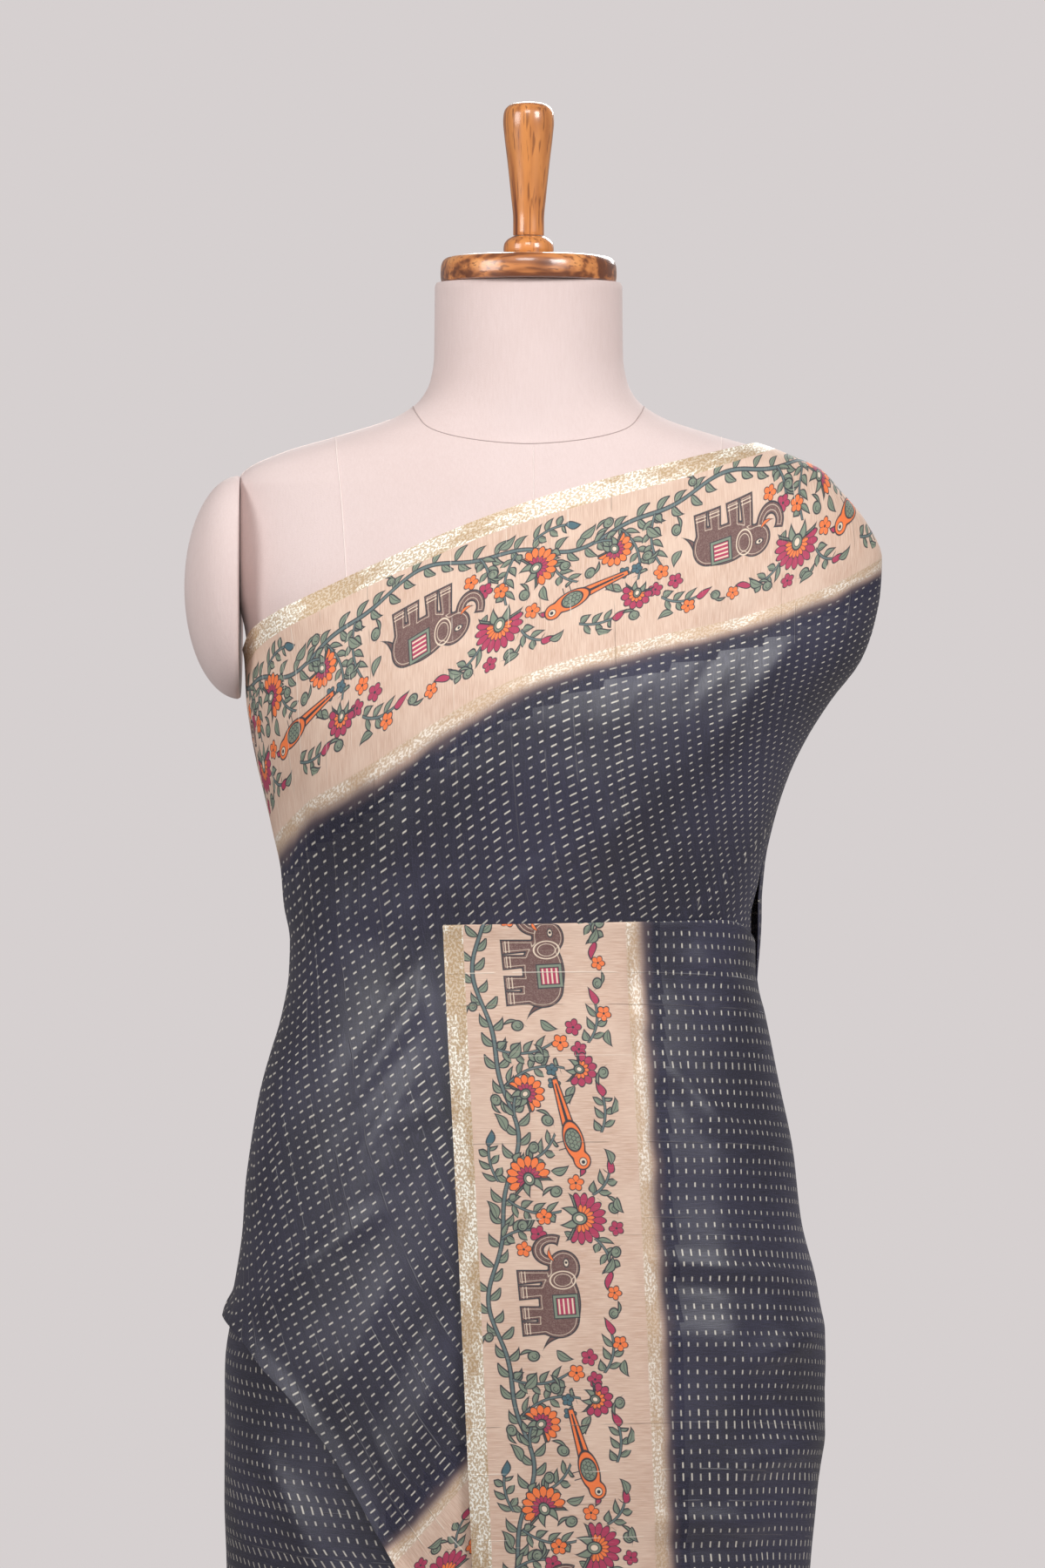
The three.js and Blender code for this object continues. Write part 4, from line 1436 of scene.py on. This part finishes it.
@dataclass
class UpperCloth:
    """Stretch of the sari from the back tuck round the left side, over the chest and shoulder,
    and down the back."""

    columns: int = 230
    low_rows: int = 78
    top_rows: int = 56
    fall_columns: int = 84
    fall_rows: int = 84
    fan: float = 0.0009
    shear: float = 0.00135
    give: float = 1.07
    front_mark: float = 700.0
    straight_edge: float = 100.0
    slope_reach: int = 8
    steepest: float = 0.75
    tuck: float = -292.0
    waist: float = 1060.0
    crease_depth: float = 1.15
    rim_height: float = 3.6
    rim_width: float = 8.0
    hip_edge: tuple[float, float, float] = (-60.0, 702.0, 115.0)
    fall_depth: float = 11.0

    def heights(self, angle: Array) -> Array:
        """Row heights of every column, from the lower edge to the upper one."""
        low, top = chest_low(angle)[:, None], chest_top(angle)[:, None]
        waist = np.minimum(self.waist, mix(top, low, 0.35))
        below = np.linspace(0, 1, self.low_rows, endpoint=False)[None, :]
        above = np.linspace(0, 1, self.top_rows)[None, :]
        return np.concatenate([mix(waist, low, (1 - below) ** 1.15),
                               mix(top, waist, (1 - above) ** 1.4)], axis=1)

    def chest(self) -> Patch:
        """Front and left part, with its cloth coordinates."""
        angle = np.linspace(self.tuck, 0, self.columns)
        z = self.heights(angle)
        grid = np.broadcast_to(angle[:, None], z.shape)
        flat, normal = drape_points(grid, z, 0.0)
        top, low = z[:, -1:], z[:, :1]
        sink = -LAYER * under_panel(grid, z)
        bare = smooth(1 + sink / COVERED)
        near_top = fade(top - z, 0, 40)
        front = facing(grid)
        folds = total(FRONT_FOLDS, flat) * fade(grid, -186, -174) * near_top
        back, fore = total(CHEST_BACK_CREASES, flat), total(CHEST_CREASES, flat)
        fine = self.crease_depth * mix(back, fore, front)
        fine *= fade(top - z, 0, 25) * fade(grid, 2, -28)
        rise = self.rim_height * np.exp(-((z - low) / self.rim_width) ** 2) * (sink > -0.2)
        wave = np.maximum(0.5 * ripple(flat[..., 0] + flat[..., 1], z, 1.7, 30.0), -0.35) * near_top
        away = sink + (folds + fine + wave) * bare + rise
        points = flat + normal * away[..., None]
        along, across = self.chest_coordinates(angle, z, flat)
        self.seam_z, self.seam_along, self.seam_across = z[-1], along[-1], across[-1]
        return Patch(points, along, across)

    def chest_coordinates(self, angle: Array, z: Array, flat: Array) -> tuple[Array, Array]:
        """Millimetres along the cloth and from its nearer edge.

        Args:
            angle: Angle of each column.
            z: Heights.
            flat: Places without folds.

        Returns:
            Along and across.
        """
        step = np.linalg.norm(np.diff(flat, axis=1), axis=-1)
        depth = np.concatenate([np.cumsum(step[:, ::-1], axis=1)[:, ::-1], np.zeros((len(z), 1))], 1)
        level = np.arange(560.0, 1346.0, 5.0)
        ring = DRAPE.point(angle[:, None], level[None, :])
        walk = np.cumsum(np.linalg.norm(np.diff(ring, axis=0), axis=-1), axis=0)
        walk = np.concatenate([np.zeros((1, len(level))), walk])
        front = int(np.argmin(abs(angle + 90)))
        walk -= walk[front]
        sideways = np.stack([np.interp(z[i], level, walk[i]) for i in range(len(angle))])
        edge = np.unwrap(np.arctan2(np.gradient(z[:, -1]), np.gradient(sideways[:, -1])))
        window = 2 * self.slope_reach + 1
        edge = np.pad(edge, self.slope_reach, mode="edge")
        slope = np.convolve(edge, np.ones(window) / window, mode="valid")
        straight = depth * np.cos(np.clip(slope, -self.steepest, self.steepest))[:, None]
        deep = np.maximum(straight - self.straight_edge, 0.0)
        across = straight + self.fan * sideways * deep
        along = sideways * self.give - self.shear * deep * deep * 0.5 + self.front_mark
        target = self.lower_edge(sideways, z, across)
        return along, np.minimum(across, target)

    def lower_edge(self, sideways: Array, z: Array, across: Array) -> Array:
        """Distance from the cloth's other edge, which shows low on the left."""
        side, height, beyond = self.hip_edge
        mark = np.argmin(abs(sideways - side) + abs(z - height))
        return across.ravel()[mark] + beyond - across

    def fall(self) -> Patch:
        """The free end that hangs down the back from the shoulder."""
        upper = self.seam_z[self.low_rows:]
        lower = np.linspace(FALL_BOTTOM, upper[0], self.fall_rows, endpoint=False)
        z = np.concatenate([lower, upper])
        w = np.linspace(0, 1, self.fall_columns)
        reach = np.clip(FALL_INNER(z) / DRAPE.right(z), 0, 1)
        inner = np.maximum(np.degrees(np.arccos(reach)), 2.0)
        angle = mix(FALL_OUTER(z)[None, :], inner[None, :], w[:, None])
        grid = np.broadcast_to(z[None, :], angle.shape)
        points, _ = drape_points(angle, grid, self.fall_offset(w[:, None], grid))
        drop = np.interp(z, self.seam_z, self.seam_across)
        drop = np.where(z < upper[0], np.interp(upper[0], self.seam_z, self.seam_across), drop)
        across = (1 - w[:, None]) * drop[None, :]
        start = np.interp(across.ravel(), self.seam_across[::-1], self.seam_z[::-1])
        start = start.reshape(across.shape)
        along = np.interp(start.ravel(), self.seam_z, self.seam_along).reshape(across.shape)
        width = np.linalg.norm(points[-1] - points[0], axis=-1)[None, :]
        run = np.hypot(start - grid, 0.4 * w[:, None] * width)
        return Patch(points, along + run, across)

    def fall_offset(self, w: Array, z: Array) -> Array:
        """How far the fall stands off, with its folds."""
        lift = 2.3 * fade(z, 1100, 1060)
        loose = fade(w, 0, 0.25) * (3.2 + 2.4 * fade(z, 1200, 700))
        turn = 3.3 * w + 0.12 * np.sin(2 * np.pi * w + 0.8) + 0.15 * np.sin(z / 130)
        uneven = 0.74 + 0.26 * np.cos(5 * w + 1)
        depth = self.fall_depth * uneven * fade(z, 1300, 800) * fade(w, 0, 0.2)
        loose *= fade(z, 1346, 1316)
        return lift + loose + depth * (0.5 - 0.5 * np.cos(2 * np.pi * turn))

    def build(self, shop: Workshop) -> None:
        """Make and dress the cloth."""
        piece = shop.cloth("sari_upper", [self.chest(), self.fall()], weld=True)
        shop.place(piece, "sari_cloth", "chest_wrap", "shoulder_fall")


@dataclass
class SkirtCloth:
    """Stretch of the sari that wraps the hips once, from the panel in front round to its
    beginning under the panel."""

    front_columns: int = 104
    other_columns: int = 112
    upper_rows: int = 150
    lower_rows: int = 66
    front_share: float = 0.32
    lower_share: float = 0.52
    panel_ends: tuple[float, float] = (-52.0, 139.0)
    overlap: float = 70.0
    crease_depth: float = 1.25
    roll_radius: float = 0.85
    roll_step: float = 1.2

    def build(self, shop: Workshop) -> None:
        """Make and dress the cloth."""
        piece = shop.cloth("sari_skirt", [self.patch()])
        shop.place(piece, "sari_cloth", "front_panel", "skirt_back", "skirt_left")

    def top_edge(self, turn: Array) -> Array:
        """Height of the upper edge at a share of the way round."""
        left, right = self.panel_ends
        x = np.clip(mix(left, right, turn / self.front_share), left, right)
        top = np.where(turn < 0.3, PANEL_TOP(x), mix(1027, 1034, fade(turn, 0.3, 0.4)))
        return np.where(turn > 0.72, mix(1034, 1030, fade(turn, 0.72, 0.82)), top)

    def patch(self) -> Patch:
        """The whole wrap with its cloth coordinates."""
        turn = steps(self.front_share, self.front_columns, self.other_columns)[:, None]
        level = steps(self.lower_share, self.lower_rows, self.upper_rows)[None, :]
        top = self.top_edge(turn)
        z = mix(top, HEM, 1 - level)
        start = -np.degrees(np.arccos(PANEL_EDGE(z) / DRAPE.left(z)))
        end = 360 - np.degrees(np.arccos((PANEL_EDGE(z) + self.overlap) / DRAPE.right(z)))
        angle = mix(start, end, turn)
        points, normal = drape_points(angle, z, 0.0)
        offset = self.layers(angle, z)
        calm = fade(turn, 0, 0.035) * fade(top - z, 0, 60)
        front = angle < 20
        bare = smooth(1 + offset / COVERED)
        folds = np.where(front, total(FRONT_FOLDS, points) * calm, 0.0)
        fore = np.where(angle < 90, total(PANEL_CREASES, points), total(LEFT_CREASES, points))
        fine = self.crease_depth * mix(total(BACK_CREASES, points), fore, facing(angle))
        fine *= bare * fade(top - z, 0, 12)
        wave = 0.5 * ripple(points[..., 0] * 1.1, z * 0.8, 0.4, 30.0) * fade(top - z, 0, 30)
        curl = 0.9 * np.exp(-((turn / 0.012) ** 2)) * (0.6 + 0.4 * np.sin(z / 37.0))
        wave = np.where(front, wave, 0.5 * wave)
        points = points + normal * (offset + folds + fine + wave + curl)[..., None]
        across = self.walk(points)
        along = z + 0.06 * across * fade(across, 100, 400)
        roll = self.rolled_top(points, normal)
        points = np.concatenate([points, roll], axis=1)
        extra = roll.shape[1]
        rise = np.arange(1, extra + 1)[None, :] * self.roll_step
        along = np.concatenate([along, along[:, -1:] + rise], axis=1)
        across = np.concatenate([across, np.repeat(across[:, -1:], extra, axis=1)], axis=1)
        return Patch(points, along, across)

    def layers(self, angle: Array, z: Array) -> Array:
        """Depth of the cloth beneath the layers that cover it."""
        around = np.where(angle > 0, angle - 360.0, angle)
        covered = np.where(angle > 0, under_chest(around, z), 0.0)
        x = DRAPE.point(angle, z)[..., 0]
        panel = np.where(angle > 180, past_panel_edge(x, z), 0.0)
        return -LAYER * (covered + panel)

    def walk(self, points: Array) -> Array:
        """Length along each row from the panel's edge."""
        step = np.linalg.norm(np.diff(points, axis=0), axis=-1)
        return np.concatenate([np.zeros((1, points.shape[1])), np.cumsum(step, axis=0)])

    def rolled_top(self, points: Array, normal: Array) -> Array:
        """Rows that turn the top edge over and a little way down inside."""
        edge, out = points[:, -1], normal[:, -1]
        radius, rows = self.roll_radius, []
        for turn in (35, 70, 105, 140, 175):
            a = math.radians(turn)
            row = edge - out * (radius * (1 - math.cos(a)))
            row[:, 2] += radius * math.sin(a)
            rows.append(row)
        for back in (2, 3):
            rows.append(points[:, -back] - normal[:, -back] * (2 * radius))
        return np.stack(rows, axis=1)


@dataclass(frozen=True)
class ArmCap:
    """Padded cap at an armhole: its side (-1 is the left), how far it stands out, half its depth
    and half its height."""

    name: str
    side: float
    reach: float
    deep: float
    tall: float
    middle_y: float = -2.0
    middle_z: float = 1255.0
    segments: int = 96
    steps: int = 34

    def build(self, shop: Workshop) -> None:
        """Make the cap with a rounded rim and a flat inner face."""
        step = np.concatenate([[0.0], np.linspace(0.03, 0.99, self.steps)])
        angle = np.linspace(0, 360, self.segments, endpoint=False) * self.side
        bulge = np.sin(step * np.pi / 2)
        shrink = np.cos(step * np.pi / 2)
        shrink[0] = 0.985
        y = self.middle_y + self.deep * shrink[:, None] * np.cos(np.radians(angle))[None, :]
        z = self.middle_z + self.tall * shrink[:, None] * np.sin(np.radians(angle))[None, :]
        x = self.side * (ARMHOLE + SEAM + self.reach * bulge)[:, None] + 0 * y
        piece = shop.rings(self.name, np.stack([x, y, z], axis=-1), shop.finishes.jersey)
        shop.place(piece, "form_jersey", f"form_{self.name}")


@dataclass
class DressForm:
    """Padded torso with neck, shoulders, two arm caps and its seams."""

    segments: int = 160
    caps: tuple[ArmCap, ...] = (ArmCap("arm_cap_left", -1.0, 34.0, 48.0, 68.0),
                                ArmCap("arm_cap_right", 1.0, 30.0, 40.0, 60.0))
    blend_from: float = 1146.0
    dark_welt: float = 0.3
    pale_welt: float = 0.4
    welt_out: float = 0.1

    def surface(self, angle: Array, z: Array, out: float = 0.0) -> Array:
        """Places on the torso.

        Args:
            angle: Degrees round the stand.
            z: Height.
            out: Distance outwards, away from the pole.

        Returns:
            Points, one row each.
        """
        low = DRAPE.point(angle, z, FORM_MARGIN(z))
        high = FORM_UPPER.point(angle, np.maximum(z, FORM_UPPER.low))
        share = fade(z, self.blend_from, FORM_UPPER.low)[..., None]
        points = mix(low, high, share)
        points[..., 2] = z
        points[..., 0] = np.clip(points[..., 0], -ARMHOLE, ARMHOLE)
        if out:
            middle = points * np.array([0.0, 0.0, 1.0])
            away = points - middle
            away /= np.linalg.norm(away, axis=-1, keepdims=True)
            points = points + away * out
        return points

    def torso(self, shop: Workshop) -> None:
        """The padded body."""
        angle = np.linspace(0, 360, self.segments, endpoint=False)
        z = np.concatenate([np.linspace(FORM_BOTTOM, 1140, 60), np.linspace(1146, 1300, 44),
                            np.linspace(1303, 1372, 46), np.linspace(1376, NECK_TOP - 2, 20)])
        levels = self.surface(angle[None, :], z[:, None] + 0 * angle[None, :])
        brim = levels[-1] * np.array([0.985, 0.985, 1.0]) + np.array([0, 0, 2.0])
        base = levels[0] * np.array([0.96, 0.96, 1.0])
        levels[0, :, 2] += 6.0
        levels = np.concatenate([base[None], levels, brim[None]])
        piece = shop.rings("form_body", levels, shop.finishes.jersey)
        shop.place(piece, "form_jersey", "form_torso")

    def seam_paths(self) -> dict[str, list[Array]]:
        """Lines of the seams on the torso, by shade."""
        round_neck = np.linspace(-180, 180, 145)
        neck_z = 1340 + 25 * (0.5 + 0.5 * np.cos(np.radians(round_neck) * 2)) ** 0.8
        neck_z = np.where(round_neck > 0, np.maximum(neck_z, 1362 + 0 * neck_z), neck_z)
        down = np.linspace(1338, 1262, 30)
        front = np.degrees(np.arcsin(3.0 / FORM_UPPER.right(down))) - 90
        side = np.linspace(1346, 1240, 40)
        left_x = Rule((1240, 1300, 1346), (-108, -112, -117))(side)
        left = -180 + np.degrees(np.arccos(np.clip(-left_x / FORM_UPPER.left(side), -1, 1)))
        right = -np.degrees(np.arccos(np.clip(-left_x / FORM_UPPER.right(side), -1, 1)))
        spine = np.linspace(1362, 1075, 60)
        back_side = np.linspace(1346, 1100, 60)
        back_x = Rule((1100, 1250, 1346), (70, 96, 112))(back_side)
        half = np.where(back_side > 1167, FORM_UPPER.left(back_side), DRAPE.left(back_side))
        back = np.degrees(np.arccos(np.clip(back_x / half, -1, 1)))
        ridge = np.linspace(1357, 1320, 24)
        return {
            "dark": [self.surface(round_neck, neck_z, self.welt_out)],
            "pale": [
                self.surface(front, down, self.welt_out),
                self.surface(left, side, self.welt_out),
                self.surface(right[:12], side[:12], self.welt_out),
                self.surface(90 + 0 * spine, spine, self.welt_out),
                self.surface(back, back_side, self.welt_out),
                self.surface(180 - back, back_side, self.welt_out),
                self.surface(180 + 0 * ridge, ridge, self.welt_out),
            ],
        }

    def seams(self, shop: Workshop) -> None:
        """Thin welts swept along the seam lines by Geometry Nodes."""
        sweep = WeltTree()
        for shade, paths in self.seam_paths().items():
            material = getattr(shop.finishes, f"{shade}_seam")
            radius = getattr(self, f"{shade}_welt")
            piece = sweep.sweep(f"form_seam_{shade}", paths, radius * MM, material)
            shop.place(piece, "form_jersey")

    def build(self, shop: Workshop) -> None:
        """Make the whole form."""
        self.torso(shop)
        for cap in self.caps:
            cap.build(shop)
        self.seams(shop)


class WeltTree:
    """Geometry Nodes tree that sweeps a round welt along loose edges."""

    pace = 0.003
    sides = 8

    def __init__(self) -> None:
        """Build the tree with named inputs."""
        self.tree = bpy.data.node_groups.new("seam welt", "GeometryNodeTree")
        _, self.radius, self.step, self.finish, _ = group_sockets(
            self.tree, ("Geometry", "INPUT", "Geometry"), ("Radius", "INPUT", "Float"),
            ("Step", "INPUT", "Float"), ("Finish", "INPUT", "Material"),
            ("Geometry", "OUTPUT", "Geometry"))
        pen = Pen(self.tree)
        source = pen.node("NodeGroupInput").outputs
        curve = pen.node("GeometryNodeMeshToCurve", Mesh=source["Geometry"])
        even = pen.node("GeometryNodeResampleCurve", {"mode": "LENGTH"}, Curve=curve.outputs[0],
                        Length=source["Step"])
        profile = pen.node("GeometryNodeCurvePrimitiveCircle", Resolution=self.sides,
                           Radius=source["Radius"])
        tube = pen.node("GeometryNodeCurveToMesh", Curve=even.outputs[0],
                        Profile_Curve=profile.outputs[0], Fill_Caps=True)
        soft = pen.node("GeometryNodeSetShadeSmooth", i0=tube.outputs[0])
        real = pen.node("GeometryNodeRealizeInstances", i0=soft.outputs[0])
        dress = pen.node("GeometryNodeSetMaterial", Geometry=real.outputs[0],
                         Material=source["Finish"])
        pen.node("NodeGroupOutput", i0=dress.outputs[0])

    def sweep(self, name: str, paths: Sequence[Array], radius: float,
              material: bpy.types.Material) -> bpy.types.Object:
        """Sweep welts along paths.

        Args:
            name: Name of the piece.
            paths: Points in millimetres.
            radius: Radius of the welt in metres.
            material: Finish.

        Returns:
            The piece, as plain mesh.
        """
        points, edges, start = [], [], 0
        for path in paths:
            points += (path * MM).tolist()
            edges += [(start + i, start + i + 1) for i in range(len(path) - 1)]
            start += len(path)
        mesh = bpy.data.meshes.new(name)
        mesh.from_pydata(points, edges, [])
        piece = shown(name, mesh)
        modifier = piece.modifiers.new("welt", "NODES")
        modifier.node_group = self.tree
        modifier[self.radius.identifier] = radius
        modifier[self.step.identifier] = self.pace
        modifier[self.finish.identifier] = material
        settle(piece)
        return piece


@dataclass
class TurnedWood:
    """Neck cap of disc, collar and knob, and the round base."""

    segments: int = 96

    def turned(self, shop: Workshop, name: str, profile: Table, material: bpy.types.Material,
               slot: str, *nodes: str) -> None:
        """One turned piece.

        Args:
            shop: The workshop.
            name: Name of the piece.
            profile: Radius and height from the bottom up, in millimetres.
            material: Finish.
            slot: Material slot.
            *nodes: Solids that it stands for.
        """
        angle = np.radians(np.linspace(0, 360, self.segments, endpoint=False))
        rows = np.array(profile, float)
        ring = np.stack([np.cos(angle), np.sin(angle)], axis=-1)
        levels = np.zeros((len(rows), self.segments, 3))
        levels[..., :2] = rows[:, 0, None, None] * ring[None]
        levels[..., 2] = rows[:, 1, None]
        piece = shop.rings(name, levels, material)
        shop.place(piece, slot, *nodes)

    def rounded(self, rows: Table, steps: int = 6) -> list[tuple[float, float]]:
        """Smooth profile through rows of radius and height."""
        knots = np.array(rows, float)
        reach = np.concatenate([[0], np.cumsum(np.linalg.norm(np.diff(knots, axis=0), axis=1))])
        at = np.linspace(0, reach[-1], steps * (len(rows) - 1) + 1)
        radius, height = Rule(reach, knots[:, 0])(at), Rule(reach, knots[:, 1])(at)
        return list(zip(radius.tolist(), height.tolist()))

    def build(self, shop: Workshop) -> None:
        """Turn every piece."""
        finishes = shop.finishes
        top = NECK_TOP + 16
        disc = [(52.3, NECK_TOP + SEAM)] + self.rounded((
            (53.2, NECK_TOP + 1.0), (53.6, NECK_TOP + 5), (53.4, 1449.5), (52.4, 1453),
            (49.8, 1455.2), (45, top)))
        self.turned(shop, "neck_disc", disc, finishes.disc, "turned_wood", "neck_cap_disc")
        collar = [(13.4, top + SEAM)] + self.rounded((
            (14.6, 1457.8), (15.3, 1460.4), (14.9, 1463.6), (12.8, 1466.6), (9.8, 1468.4)))
        self.turned(shop, "neck_collar", collar, finishes.handle, "turned_wood", "knob_collar")
        knob = [(9.1, 1468.6 + SEAM)] + self.rounded((
            (9.4, 1469.6), (9.4, 1478), (10.8, 1494), (12.9, 1514), (14.8, 1530),
            (15.5, 1538.5), (15.1, 1543.4), (13.4, 1546.9), (9.6, 1549.2), (3.0, 1550.4)))
        self.turned(shop, "neck_knob", knob, finishes.handle, "turned_wood", "knob_handle")
        base = [(185, 0)] + self.rounded((
            (188.5, 1.0), (190, 4), (190, 14), (188.2, 19), (183, 21.8), (178, BASE_TOP)))
        self.turned(shop, "round_base", base, finishes.disc, "turned_wood", "stand_base")
        pole = [(16, BASE_TOP + SEAM), (16, 300), (16, 600), (16, FORM_BOTTOM - SEAM)]
        self.turned(shop, "pole", pole, finishes.pole, "pole_paint", "stand_pole")


@dataclass(frozen=True)
class Lamp:
    """Soft rectangular light that faces the stand at a height: its place and two sides in metres,
    its power in watts, and the angle of its beam in degrees."""

    name: str
    place: tuple[float, float, float]
    sides: tuple[float, float]
    power: float
    height: float = 1.1
    spread: float = 180.0

    def build(self) -> None:
        """Hang the lamp."""
        light = bpy.data.lights.new(self.name, "AREA")
        light.shape = "RECTANGLE"
        light.size, light.size_y = self.sides
        light.energy = self.power
        light.spread = math.radians(self.spread)
        holder = shown(self.name, light)
        holder.location = self.place
        aim = np.array([0.0, 0.0, self.height]) - np.array(self.place)
        flat = math.hypot(aim[0], aim[1])
        holder.rotation_euler = (math.atan2(flat, -aim[2]), 0.0, math.atan2(-aim[0], aim[1]))


@dataclass
class Studio:
    """Pale floor, soft lights and the camera."""

    distance: float = 4.5
    view_height: float = 0.954
    aim_x: float = -0.0037
    aim_z: float = 1.1354
    floor_half: float = 1.6
    floor_dark: Colour = (0.66, 0.62, 0.62)
    floor_pale: Colour = (0.7, 0.66, 0.66)
    backdrop: Colour = (0.672, 0.631, 0.631)
    ambient: float = 0.36
    sensor: float = 36.0
    lamps: tuple[Lamp, ...] = (
        Lamp("key", (1.45, -1.7, 2.3), (0.8, 0.8), 35.0, 1.2),
        Lamp("front", (-0.15, -2.1, 2.75), (0.9, 0.7), 4.2, 1.4, 80.0),
        Lamp("fill", (-1.9, -1.5, 2.0), (1.2, 1.2), 4.4, 1.5, 62.0),
        Lamp("back", (0.6, 2.4, 2.4), (1.6, 1.0), 33.0),
    )

    def floor(self) -> None:
        """Plain pale floor."""
        mesh = bpy.data.meshes.new("floor")
        half = self.floor_half
        corners = [(-half, -half, 0), (half, -half, 0), (half, half, 0), (-half, half, 0)]
        mesh.from_pydata(corners, [], [(0, 1, 2, 3)])
        pen = Shader("pale floor")
        soft = pen.noise(pen.object_place(), 3.0, 2.0)
        colour = pen.blend(soft, self.floor_dark, self.floor_pale)
        mesh.materials.append(pen.surface(colour, 0.7 + soft * 0.1))
        shown("floor", mesh)

    def world(self) -> None:
        """Even pale surroundings."""
        world = bpy.data.worlds.new("studio")
        world.use_nodes = True
        pen = Pen(world.node_tree)
        background = world.node_tree.nodes["Background"]
        pen.feed(background.inputs["Color"], self.backdrop)
        seen = Value(pen, pen.node("ShaderNodeLightPath").outputs["Is Camera Ray"])
        pen.feed(background.inputs["Strength"], seen * (1.0 - self.ambient) + self.ambient)
        bpy.context.scene.world = world
        bpy.context.scene.view_settings.view_transform = "Standard"

    def camera(self) -> None:
        """Level camera in front."""
        lens = bpy.data.cameras.new("camera")
        lens.sensor_width = self.sensor
        lens.lens = self.sensor * self.distance / self.view_height
        holder = shown("camera", lens)
        holder.location = (self.aim_x, -self.distance, self.aim_z)
        holder.rotation_euler = (math.radians(90), 0.0, 0.0)
        bpy.context.scene.camera = holder

    def build(self) -> None:
        """Set the whole studio."""
        self.floor()
        self.world()
        for lamp in self.lamps:
            lamp.build()
        self.camera()


def main() -> None:
    """Build the studio, the form and its cloth."""
    logging.basicConfig(level=logging.INFO, format="%(message)s")
    Studio().build()
    shop = Workshop(Finishes.make())
    DressForm().build(shop)
    TurnedWood().build(shop)
    SkirtCloth().build(shop)
    UpperCloth().build(shop)


if __name__ == "__main__":
    main()
